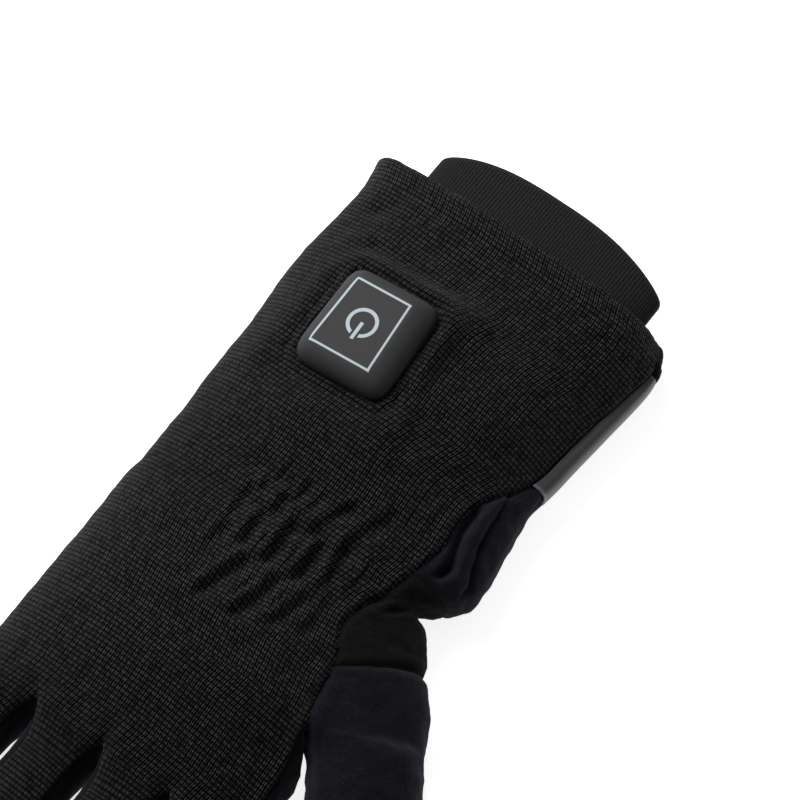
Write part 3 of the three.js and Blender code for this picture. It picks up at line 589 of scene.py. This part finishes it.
def refine(levels, points):
    """The net as a fine smooth skin: vertices, normals, faces, piece of each face, places of corners."""
    mesh = bpy.data.meshes.new("net")
    mesh.from_pydata(points.tolist(), [], net_faces)
    for _ in range(UNDER_TAPE + 1):
        mesh.materials.append(None)
    mesh.polygons.foreach_set("material_index", piece_index)
    places = np.concatenate([np.array(p) for p in net_places])
    mesh.uv_layers.new(name="cloth").data.foreach_set("uv", places.ravel())
    net = bpy.data.objects.new("net", mesh)
    scene.collection.objects.link(net)
    smoothing = net.modifiers.new("smooth", "SUBSURF")
    smoothing.levels = levels
    smoothing.uv_smooth = "NONE"
    fine = bpy.data.meshes.new_from_object(net.evaluated_get(bpy.context.evaluated_depsgraph_get()))
    points = np.zeros(len(fine.vertices) * 3)
    fine.vertices.foreach_get("co", points)
    normals = np.zeros(len(fine.vertices) * 3)
    fine.vertex_normals.foreach_get("vector", normals)
    loops = np.zeros(len(fine.loops), int)
    fine.loops.foreach_get("vertex_index", loops)
    piece = np.zeros(len(fine.polygons), int)
    fine.polygons.foreach_get("material_index", piece)
    corner_places = np.zeros(len(fine.loops) * 2)
    fine.uv_layers["cloth"].data.foreach_get("uv", corner_places)
    bpy.data.objects.remove(net)
    bpy.data.meshes.remove(mesh)
    bpy.data.meshes.remove(fine)
    places = corner_places.reshape(-1, 4, 2)
    return points.reshape(-1, 3), normals.reshape(-1, 3), loops.reshape(-1, 4), piece, places


# Smoothing draws the skin in from the net's points, so the points are set out by as much
wanted = np.array(net_points)
net = wanted.copy()
for _ in range(3):
    net += wanted - refine(2, net)[0][: len(net)]
skin, skin_normals, skin_faces, skin_piece, skin_places = refine(3, net)
flatten_seat(skin)


def from_line(points, path):
    """How far points lie from a line over the glove seen from above, above 0 on the thumb's side of
    a line towards the fingers, and how far along it they lie."""
    path = np.array(path, float)
    best, side = np.full(len(points), 1e9), np.ones(len(points))
    along, done = np.zeros(len(points)), 0.0
    total = np.hypot(*np.diff(path, axis=0).T).sum()
    for a, b in zip(path, path[1:]):
        run = b - a
        share = np.clip((points[:, :2] - a) @ run / (run @ run), 0, 1)
        off = points[:, :2] - a - share[:, None] * run
        distance = np.hypot(*off.T)
        nearer = distance < best
        best = np.where(nearer, distance, best)
        side = np.where(nearer, np.sign(run[0] * off[:, 1] - run[1] * off[:, 0]), side)
        along = np.where(nearer, done + share * np.hypot(*run), along)
        done += np.hypot(*run)
    return best * side, along, total


# Valleys in the cloth: depth, width of the side towards the little finger, width of the other
# side, and path; a negative depth is a ridge. Those of the wrist have a ridge beside them.
WRIST_PUCKERS = [
    (0.85, 1.2, 2.1, (-14.6, -112.5), (-14.6, -119.3), (-14.4, -129.0)),
    (0.77, 1.1, 1.7, (-12.0, -108.0), (-11.9, -117.5)),
    (1.3, 1.3, 2.2, (-4.2, -108.5), (-4.4, -120.0)),
    (0.77, 1.1, 1.8, (-1.2, -101.5), (-1.6, -113.5)),
    (1.1, 1.4, 2.5, (15.0, -100.0), (11.2, -107.0), (7.6, -118.5)),
    (1.1, 1.6, 3.4, (26.0, -94.0), (20.6, -108.0), (18.8, -118.5)),
    (1.6, 1.3, 2.4, (-6.8, -118.5), (-6.4, -134.0)),
    (2.0, 1.4, 2.7, (2.2, -115.0), (3.2, -134.0)),
    (2.0, 1.4, 2.7, (13.0, -116.0), (13.4, -132.5)),
    (1.5, 1.4, 2.4, (19.0, -112.5), (20.4, -121.0), (22.1, -129.5)),
    (1.0, 1.4, 2.6, (-12.6, -127.5), (-13.9, -141.0)),
    (1.7, 1.5, 3.0, (-0.6, -131.5), (-3.7, -143.5), (-6.9, -154.5)),
    (1.7, 1.5, 3.0, (9.8, -130.5), (8.6, -143.5), (5.2, -154.0)),
    (1.4, 1.5, 2.7, (19.4, -129.5), (18.3, -140.5), (15.6, -150.0)),
    (0.94, 1.4, 2.6, (23.6, -124.5), (25.9, -135.4), (25.8, -145.0)),
    (0.6, 0.7, 0.9, (-9.4, -101.0), (-10.2, -112.5)),
    (0.6, 0.7, 0.9, (4.4, -103.0), (2.9, -114.0)),
    (0.6, 0.7, 0.9, (7.6, -119.5), (8.3, -131.0)),
    (0.6, 0.7, 0.9, (-1.6, -121.0), (-1.8, -131.5)),
    (0.6, 0.7, 0.9, (4.2, -136.5), (2.2, -149.0)),
    (0.6, 0.7, 0.9, (14.4, -134.0), (13.1, -146.0)),
    (0.6, 0.7, 0.9, (28.0, -112.0), (27.6, -124.0)),
    (0.5, 2.6, 2.6, (-24.0, -109.0), (0.0, -107.0), (26.0, -104.0)),
    (0.5, 2.2, 2.2, (-20.0, -119.5), (0.0, -118.5), (24.0, -116.5)),
    (0.5, 2.2, 2.2, (-18.0, -131.5), (0.0, -132.0), (24.0, -129.5)),
]
SLACK_FOLDS = [
    (0.9, 2.6, 3.2, (-45.7, -25.4), (-40.7, -18.7), (-35.6, -8.0)),
    (0.8, 4.0, 4.5, (-31.0, -24.5), (-14.0, -22.0), (2.0, -24.0), (12.0, -31.0)),
    (0.6, 7.0, 7.0, (-30.0, -160.0), (0.0, -163.0), (22.0, -157.0)),
    (0.5, 6.0, 6.0, (12.0, -62.0), (20.0, -76.0), (33.0, -88.0)),
    (-0.5, 5.0, 5.0, (-6.0, -90.0), (14.0, -84.0), (34.0, -70.0)),
]
THUMB_SIDE_FOLDS = [
    (3.6, 1.4, 1.2, (42.6, -78.0), (42.7, -85.0), (43.2, -89.0), (44.8, -94.5), (47.0, -100.0), (45.0, -106.0)),
    (-1.2, 1.6, 2.0, (45.8, -68.0), (46.0, -82.0), (47.6, -92.0), (50.2, -99.0), (49.6, -105.5)),
    (1.3, 0.6, 0.9, (45.6, -66.0), (48.0, -78.0), (49.3, -88.1), (51.8, -94.7), (54.4, -100.5), (53.6, -105.0)),
    (1.0, 0.8, 1.6, (31.5, -124.5), (37.3, -119.5), (41.0, -115.8)),
    (1.6, 0.8, 1.6, (38.5, -123.5), (42.9, -119.2), (46.5, -115.0)),
]


def swell(distance, middle, width):
    """A rounded rise across a distance, 1 high at its middle."""
    return np.exp(-(((distance - middle) / width) ** 2))


def upper_side(points, normals):
    """1 where the cloth faces up, fading to 0 where it turns down."""
    return eased((normals[:, 2] - 0.02) / 0.35) * (points[:, 2] > 8)


def fold_lift(points, normals):
    """How far the puckers and folds lift the cloth, or sink it."""
    lift = np.zeros(len(points))
    for folds, softness in ((WRIST_PUCKERS, 5.0), (SLACK_FOLDS, 9.0), (THUMB_SIDE_FOLDS, 4.0)):
        for depth, steep, gentle, *path in folds:
            distance, along, total = from_line(points, path)
            ends = eased(np.minimum(along, total - along) / softness + 0.1)
            valley = swell(distance, 0, np.where(distance < 0, steep, gentle))
            ridge = 0.5 * swell(distance, -2.1 * steep, 1.1 * steep) if folds is WRIST_PUCKERS else 0
            lift += ends * depth * (ridge - valley)
    return lift * upper_side(points, normals)


upper = upper_side(skin, skin_normals)
lift = fold_lift(skin, skin_normals)

# The cloth is drawn over a rim under the button, and dips beyond it, most on the cuff's side
BUTTON_TURN = math.radians(2.5)
BUTTON_CORNER = 4.0
turn_cos, turn_sin = math.cos(BUTTON_TURN), math.sin(BUTTON_TURN)
local = (skin[:, :2] - BUTTON_AT) @ np.array([[turn_cos, -turn_sin], [turn_sin, turn_cos]])
beyond = abs(local) - np.array(BUTTON_SIZE[:2]) / 2 + BUTTON_CORNER
off_button = np.hypot(*np.maximum(beyond, 0).T) + np.minimum(beyond.max(1), 0) - BUTTON_CORNER
cuff_side = eased((local[:, 1] + local[:, 0] * 0.6 + 6) / 26)
rim = 0.6 * swell(off_button, 1.4, 0.8) + 1.7 * cuff_side * swell(off_button, 3.8, 2.1)
dip = 1.5 * cuff_side * swell(off_button, 9.5, 3.0) + 0.5 * swell(off_button, 3.4, 0.9) * (1 - cuff_side)
lift += upper * (rim - dip - 0.5 * swell(off_button, 0.1, 0.5))

# Slack of the padding, seams between pieces, and the palm's recess under the tape
SLACK, CRUMPLE, THUMB_SIDE_CRUMPLE, THUMB_SIDE_FROM = 0.28, 0.25, 0.5, 28
TAPE_RECESS = 1.2
x, y = skin[:, 0], skin[:, 1]
off_table = skin[:, 2] > 3
slack = np.sin(x / 9.0 + 1.3 * np.sin(y / 23)) * np.sin(y / 13.0 + 0.8 * np.sin(x / 17))
lift += SLACK * slack * off_table
crumple = np.array([noise.noise(p * 0.22) + 0.5 * noise.noise(p * 0.5) for p in map(Vector, skin)])
lift += np.where(x > THUMB_SIDE_FROM, THUMB_SIDE_CRUMPLE, CRUMPLE) * crumple * off_table
cloth_of = np.where(skin_piece == UNDER_TAPE, 1, skin_piece)
pieces_at = np.zeros((len(skin), len(SHELL)), bool)
for k in range(4):
    pieces_at[skin_faces[:, k], cloth_of] = True
seam_points = np.flatnonzero(pieces_at.sum(1) > 1)
tree = KDTree(len(seam_points))
for i in seam_points:
    tree.insert(skin[i], i)
tree.balance()
from_seam = np.array([tree.find(p)[2] for p in skin])
knit_only = pieces_at[:, 0] & (pieces_at.sum(1) == 1)
on_hem = y > -6
groove = -0.8 * swell(from_seam, 0, 0.9) + 0.3 * swell(from_seam, 3.0, 1.8)
knit_edge = knit_only * 0.45 * swell(from_seam, 1.4, 1.2)
at_tip = eased((-skin_normals[:, 1] - 0.2) / 0.4) * (y < -CUFF - HAND - 40)  # seams end before the tips
lift += np.where(on_hem, 0, groove + knit_edge) * (skin[:, 2] > 1) * (1 - at_tip)
tape_lift = np.zeros(len(skin))
tape_lift[np.unique(skin_faces[skin_piece == UNDER_TAPE])] = -TAPE_RECESS
skin_plain = skin.copy()
skin = skin + skin_normals * (lift + tape_lift)[:, None]
skin[:, 2] = np.maximum(skin[:, 2], 0)

# The lining follows the valleys a little deeper, a wall's thickness further in
LINING_FOLLOWS = 1.15
lining, lining_normals, lining_faces, lining_piece, lining_places = refine(2, net)
lining_lift = np.minimum(LINING_FOLLOWS * fold_lift(lining, lining_normals), 0) - WALL
lining += lining_normals * lining_lift[:, None]
lining_cloth = np.where(lining_piece == UNDER_TAPE, 1, lining_piece)


def gathered(points, faces):
    """Only the points that some faces use, with the faces renumbered."""
    used, renumbered = np.unique(faces, return_inverse=True)
    return points[used], renumbered.reshape(faces.shape)


def shell_piece(name, material):
    """One cloth piece: its part of the skin and, facing inwards, its part of the lining."""
    in_skin, in_lining = cloth_of == SHELL.index(name), lining_cloth == SHELL.index(name)
    outer, outer_faces = gathered(skin, skin_faces[in_skin])
    inner, inner_faces = gathered(lining, lining_faces[in_lining][:, ::-1])
    made = add_object(
        name + "_cloth",
        place(np.concatenate([outer, inner])),
        np.concatenate([outer_faces, inner_faces + len(outer)]).tolist(),
        np.concatenate([skin_places[in_skin], lining_places[in_lining][:, ::-1]]),
        material,
    )
    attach(made, "root")
    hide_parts(name)


# Back: a thick knit of small square loops in lines that run along the glove, black. Its colour
# has a painted highlight on each loop and painted shade between the loops. It is cut in one
# piece from the cuff to the fingertips.
WALE, COURSE = 1.6, 1.5  # mm between lines, and between the loops of one line
# Dark end: the black yarn with painted shade for the gaps; light end: a painted highlight on the loops
KNIT_PAINTED_SHADE, KNIT_PAINTED_HIGHLIGHT = (0.0002, 0.0002, 0.0003), (0.19, 0.19, 0.198)
knit = Finish("back_knit")
across, along, at = knit.pattern()
across = across + (knit.noise(at, 0.03, 1.0) - 0.5) * 1.2
along = along + (knit.noise(at, 0.025, 1.0) - 0.5) * 1.6
line = across / WALE
in_line = abs(line.fraction() - 0.5) * 2
loop = along / COURSE + in_line * 0.2
to_loop = abs(loop.fraction() - 0.5) * 2
loop_number = knit.node("ShaderNodeCombineXYZ", {}, {0: (line * 2).floor(), 1: loop.floor()})[0]
own = knit.node("ShaderNodeTexWhiteNoise", {"noise_dimensions": "2D"}, {"Vector": loop_number})["Value"]
yarn = knit.noise(at, 5.5, 3.0, 0.65)
# High on a loop's two legs, low between them, between lines and from one loop to the next
raised = (1 - in_line**2.0) * (1 - 0.85 * (1 - in_line) ** 3.5) * (1 - 0.75 * to_loop**2.4)
# Painted highlight: the colour is lighter on the raised legs and near black in the gaps, where light and shade
# would fall
painted_loop_highlight = raised**3.0 * (0.45 + 0.9 * own) * (0.4 + 1.2 * yarn)
black_knit = knit.surface(
    Base_Color=knit.blend(painted_loop_highlight.least(1), KNIT_PAINTED_SHADE, KNIT_PAINTED_HIGHLIGHT),
    Roughness=0.95 - 0.25 * raised,
    Normal=knit.bump(raised + 0.3 * yarn, 0.0008, 0.9),
    Specular_IOR_Level=0.05,
    Sheen_Weight=0.1,
    Sheen_Roughness=0.35,
)
shell_piece("back_panel", black_knit)

# Palm, strips between the fingers, and thumb: a smooth stretch cloth with a brushed face, navy
# that is nearly black, over thin padding. It comes round to the back on the thumb side.
NAVY_SHADE, NAVY_LIT = (0.004, 0.004, 0.006), (0.015, 0.015, 0.021)
stretch = Finish("palm_stretch")
at = stretch.pattern()[2]
nap = stretch.noise(at, 1.1, 5.0, 0.85)
cloudy = stretch.noise(at, 0.12, 3.0)
navy_stretch = stretch.surface(
    Base_Color=stretch.blend((nap * 3.4 + cloudy * 0.6 - 1.5).clipped(), NAVY_SHADE, NAVY_LIT),
    Roughness=0.8 + 0.15 * nap,
    Normal=stretch.bump(nap, 0.0006, 0.8),
    Specular_IOR_Level=0.07,
    Sheen_Weight=0.1,
    Sheen_Roughness=0.4,
    Sheen_Tint=(0.8, 0.8, 1.0, 1.0),
)
shell_piece("palm_panel", navy_stretch)
for number in (1, 2, 3):
    shell_piece(f"fourchette_{number}", navy_stretch)
shell_piece("thumb", navy_stretch)

# Gusset: a dark grey stretch cloth without shine, which fills the thumb's base between the
# back and the palm and bunches up where the wrist is drawn in.
GUSSET_SHADE, GUSSET_LIT = (0.002, 0.002, 0.002), (0.0135, 0.0135, 0.013)
gusset = Finish("gusset_stretch")
fuzz = gusset.noise(gusset.pattern()[2], 1.1, 5.0, 0.85)
dark_stretch = gusset.surface(
    Base_Color=gusset.blend((fuzz * 3.0 - 1.0).clipped(), GUSSET_SHADE, GUSSET_LIT),
    Roughness=0.95,
    Normal=gusset.bump(fuzz, 0.0006, 0.8),
    Specular_IOR_Level=0.05,
    Sheen_Weight=0.03,
    Sheen_Roughness=0.5,
)
shell_piece("thumb_gusset", dark_stretch)

# Tape: a smooth coated strip, folded over the cuff's thumb side and welded down along the
# knit's edge. Its cut end towards the fingers has a painted highlight: a thin curved line of
# lighter colour, where the end would catch the light.
TAPE_LOWER, TAPE_UPPER = -0.9, 0.05  # its two faces, from the cloth's smooth skin
TAPE_END_HIGHLIGHT_SPAN = (60.4, 61.2)  # where the painted highlight on its end begins, and where it is full
# The second colour is a painted highlight for the tape's cut end, lighter than its own greys
TAPE_GREYS, TAPE_PAINTED_END_HIGHLIGHT = ((0.06, 0.06, 0.065), (0.076, 0.076, 0.081)), (0.2, 0.2, 0.21)
tape_places = skin_places[skin_piece == UNDER_TAPE]
tape_points, tape_faces = gathered(np.arange(len(skin)), skin_faces[skin_piece == UNDER_TAPE])
tape_lower = skin_plain[tape_points] + skin_normals[tape_points] * TAPE_LOWER
tape_upper = skin_plain[tape_points] + skin_normals[tape_points] * TAPE_UPPER
count = len(tape_points)
edges = {}
for face, places in zip(tape_faces.tolist(), tape_places):
    for k in range(4):
        edges[face[k], face[(k + 1) % 4]] = places[k], places[(k + 1) % 4]
open_edges = [(a, b, p, q) for (a, b), (p, q) in edges.items() if (b, a) not in edges]
coated = Finish("coated_tape")
across, along, at = coated.pattern()
grain = coated.noise(at, 1.6, 3.0)
# Painted highlight: the colour turns lighter near the tape's cut end towards the fingers
painted_end_highlight = along.step(*TAPE_END_HIGHLIGHT_SPAN)
grey_tape = coated.surface(
    Base_Color=coated.blend(painted_end_highlight * 0.9, coated.blend(grain, *TAPE_GREYS), TAPE_PAINTED_END_HIGHLIGHT),
    Roughness=0.42 + 0.1 * grain,
    Normal=coated.bump(grain, 0.00008, 0.5),
    Specular_IOR_Level=0.4,
)
tape = add_object(
    "side_tape_strip",
    place(np.concatenate([tape_upper, tape_lower])),
    tape_faces.tolist()
    + (tape_faces[:, ::-1] + count).tolist()
    + [(b, a, a + count, b + count) for a, b, p, q in open_edges],
    np.concatenate([tape_places, tape_places[:, ::-1], [[q, p, p, q] for a, b, p, q in open_edges]]),
    grey_tape,
)
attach(tape, "root")
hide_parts("side_tape")

# Inner cuff: a wide woven elastic band, sewn to the lining inside the cuff, that stands out of
# it as a flattened tube and closes round the wrist. Its mouth has a finer selvedge.
BAND_WIDTH, BAND_HEIGHT, BAND_WALL, BAND_MIDDLE = 83.0, 12.0, 2.0, np.array([3.6, 15.95])
BAND_REACH, BAND_CORNER_REACH = 18.9, 10.5  # how far it stands out, in its middle and at its sides
BAND_HELD = 3.8  # its sewn end lies so far inside the cuff's skin
BAND_RIPPLE, BAND_RIPPLES = 0.25, 7
BAND_STEPS = 144
SEWN_ROW = 4
seam = Section(ROWS[SEWN_ROW])
sewn = seam.points(np.linspace(0, seam.girth[-1], BAND_STEPS, endpoint=False))
around = np.roll(sewn, -1, 0) - np.roll(sewn, 1, 0)
sewn_out = np.stack([-around[:, 2], np.zeros(BAND_STEPS), around[:, 0]], 1)
sewn_out /= np.linalg.norm(sewn_out, axis=1)[:, None]
band_from_middle = (sewn[:, [0, 2]] - BAND_MIDDLE) / (HALF, HEIGHT / 2)
band_angle = np.arctan2(band_from_middle[:, 1], band_from_middle[:, 0])
band_cos, band_sin = np.cos(band_angle), np.sin(band_angle)
roundness = np.where(band_cos < 0, 4, 3)
band_norm = (abs(band_cos) ** roundness + abs(band_sin) ** roundness) ** (-1 / roundness)


def band_ring(along, inset, beyond=0.0):
    """The tube cut across, at a share of the way from its sewn end to its mouth."""
    flare = float(np.interp(along, [0, 0.14, 0.36, 0.55], [1, 0.55, 0.1, 0]))
    x = BAND_MIDDLE[0] + band_cos * band_norm * (BAND_WIDTH / 2 - inset)
    z = BAND_MIDDLE[1] + band_sin * band_norm * (BAND_HEIGHT / 2 - inset)
    corner = (abs(x - BAND_MIDDLE[0]) / (BAND_WIDTH / 2)) ** np.where(x < 0, 3.0, 2.4)
    mouth = BAND_REACH + (BAND_CORNER_REACH - BAND_REACH) * corner
    y = seam.y + (mouth - seam.y) * along + beyond
    held = sewn - sewn_out * (BAND_HELD + inset)
    z = z + BAND_RIPPLE * np.sin(band_angle * BAND_RIPPLES + 2) * along * (1 - along) * 4
    tube = np.stack([x, y, z], 1)
    return tube * (1 - flare) + np.stack([held[:, 0], y, held[:, 2]], 1) * flare


outer_rings = [band_ring(a, 0) for a in np.linspace(0, 0.97, 17)]
lip = [band_ring(1, 0.15, -0.55), band_ring(1, 0.55, -0.1), band_ring(1, 1.0, 0.05), band_ring(1, 1.6, -0.2)]
inner_rings = [band_ring(a, BAND_WALL) for a in np.linspace(0.97, 0, 12)]
band_rings = outer_rings + lip + inner_rings
gaps = [np.linalg.norm(far - near, axis=1).mean() for near, far in zip(band_rings, band_rings[1:])]
to_end = [sum(gaps[r:]) for r in range(len(band_rings))]
from_mouth = [length - to_end[len(outer_rings) + 1] for length in to_end]
BAND_STEP_LENGTH = 1.3
band_faces, band_places = [], []
for r in range(len(band_rings) - 1):
    first, second = r * BAND_STEPS, (r + 1) * BAND_STEPS
    near, far = from_mouth[r], from_mouth[r + 1]
    for j in range(BAND_STEPS):
        k = (j + 1) % BAND_STEPS
        band_faces.append((first + j, first + k, second + k, second + j))
        here, there = j * BAND_STEP_LENGTH, (j + 1) * BAND_STEP_LENGTH
        band_places.append([(here, near), (there, near), (there, far), (here, far)])
BAND_SHADE, BAND_LIT = (0.003, 0.003, 0.0033), (0.036, 0.036, 0.038)
SELVEDGE = (0.03, 0.027, 0.025)
elastic = Finish("elastic_band")
across, along, at = elastic.pattern()
fine_rib, cross_rib = across.wave(0.9), along.wave(0.7)
speckle = elastic.noise(at, 1.6, 5.0, 0.9)
selvedge = along.step(0.2, 0.6) * along.step(2.0, 1.5)
woven = fine_rib * 0.25 + cross_rib * 0.15 + speckle * 0.95
elastic_black = elastic.blend((woven * 2.2 - 1.05).clipped(), BAND_SHADE, BAND_LIT)
black_elastic = elastic.surface(
    Base_Color=elastic.blend(selvedge * 0.5, elastic_black, SELVEDGE),
    Roughness=0.85,
    Normal=elastic.bump(woven, 0.00015, 0.6),
    Specular_IOR_Level=0.07,
    Sheen_Weight=0.04,
    Sheen_Roughness=0.4,
)
band_points = place(np.concatenate(band_rings))
band = add_object("inner_cuff_band_elastic", band_points, band_faces, band_places, black_elastic)
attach(band, "root")
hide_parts("inner_cuff_band")

# Power button: a pillow of soft satin rubber over a membrane switch, moulded in one piece and
# set into the knit. A pale frame line and a power symbol are printed on its flat top.
BUTTON_STEPS = 128
FACE = (21.5, 25.5)  # the flat top, across and along
BUTTON_TAPER = 0.06  # it is so much narrower at its cuff end
BUTTON_FOOT = 0.3  # over the seat
profile = [  # rise, how much of the way from the face's edge to the base's edge, corner
    (-0.12, 0.985, 7.0),
    (0.0, 1.0, 7.0),
    (0.12, 1.005, 7.0),
    (0.28, 0.985, 7.0),
    (0.45, 0.92, 7.0),
    (0.6, 0.82, 7.0),
    (0.73, 0.68, 7.0),
    (0.83, 0.52, 7.2),
    (0.905, 0.35, 7.5),
    (0.955, 0.2, 8.0),
    (0.985, 0.08, 8.5),
    (0.998, 0.0, 9.0),
]
FACE_OFF = np.array([-1.5, 0.5])  # the face lies off the middle
up = np.array([-SEAT_SLOPE[0], -SEAT_SLOPE[1], 1.0])
up /= np.linalg.norm(up)
seat_across = np.array([1.0, 0, SEAT_SLOPE[0]])
seat_across /= np.linalg.norm(seat_across)
seat_along = np.cross(up, seat_across)
seat_middle = np.array([*BUTTON_AT, SEAT_Z]) + up * BUTTON_FOOT
angle = np.linspace(0, 2 * math.pi, BUTTON_STEPS, endpoint=False)


def button_ring(rise, outward, corner, shrink=1.0):
    """The pillow cut across at one level, and each point's place on the printed face."""
    norm = (abs(np.cos(angle)) ** corner + abs(np.sin(angle)) ** corner) ** (-1 / corner)
    length = (FACE[1] + (BUTTON_SIZE[1] - FACE[1]) * outward) * shrink
    width = (FACE[0] + (BUTTON_SIZE[0] - FACE[0]) * outward) * shrink
    v = np.sin(angle) * norm * length / 2
    u = np.cos(angle) * norm * width / 2 * (1 - BUTTON_TAPER * max(rise, 0) * 2 * v / BUTTON_SIZE[1])
    across = u * turn_cos - v * turn_sin
    along = u * turn_sin + v * turn_cos
    off = FACE_OFF * (1 - outward)
    at = seat_middle + rise * BUTTON_SIZE[2] * up + off[0] * seat_across + off[1] * seat_along
    return at + across[:, None] * seat_across + along[:, None] * seat_along, np.stack([u, v], 1)


levels = [button_ring(*level) for level in profile]
levels += [button_ring(1.0, 0, 9.0, share) for share in (0.97, 0.85, 0.6, 0.35, 0.12)]
button_points = np.concatenate([ring for ring, _ in levels])
ring_places = np.concatenate([places for _, places in levels])
button_faces = []
for level in range(len(levels) - 1):
    for j in range(BUTTON_STEPS):
        a, b = level * BUTTON_STEPS + j, level * BUTTON_STEPS + (j + 1) % BUTTON_STEPS
        button_faces.append((a, b, b + BUTTON_STEPS, a + BUTTON_STEPS))
button_faces.append(tuple(range((len(levels) - 1) * BUTTON_STEPS, len(levels) * BUTTON_STEPS)))
corner_list = np.array([i for face in button_faces for i in face])
PRINT_HALF = 0.33  # half the printed line's width
PRINT_WIDTH, PRINT_LENGTH, PRINT_TAPER = 10.1, 12.2, 0.045  # half the frame's sides
SYMBOL_RADIUS = 4.45
RUBBER_GREYS, PRINT = ((0.022, 0.022, 0.0235), (0.028, 0.028, 0.03)), (0.5, 0.58, 0.62)
rubber = Finish("soft_rubber")
across, along, at = rubber.pattern()
frame_half = PRINT_WIDTH - PRINT_TAPER * along
inside = (abs(across + 0.3) - frame_half).most(abs(along + 0.1) - PRINT_LENGTH)
printed_frame = abs(inside).step(PRINT_HALF + 0.12, PRINT_HALF - 0.08)
radius = (across * across + along * along) ** 0.5
ring = abs(radius - SYMBOL_RADIUS).step(0.68, 0.48)
opening = abs(across).step(1.25, 1.5).most(along.step(-1.0, 0.0))
bar = abs(across).step(0.66, 0.46) * along.step(0.2, 0.0) * along.step(-6.2, -6.0)
printed = printed_frame.most((ring * opening).most(bar))
stipple = rubber.noise(at, 9.0, 2.0)
worn = rubber.noise(at, 0.25, 3.0)
satin_rubber = rubber.surface(
    Base_Color=rubber.blend(printed, rubber.blend(worn, *RUBBER_GREYS), PRINT),
    Roughness=0.6 + 0.1 * worn,
    Normal=rubber.bump(stipple + printed * 0.6, 0.00003, 0.5),
    Specular_IOR_Level=0.35,
)
corner_places = ring_places[corner_list]
button = add_object("power_button_rubber", place(button_points), button_faces, corner_places, satin_rubber)
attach(button, "root")
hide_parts("power_button")
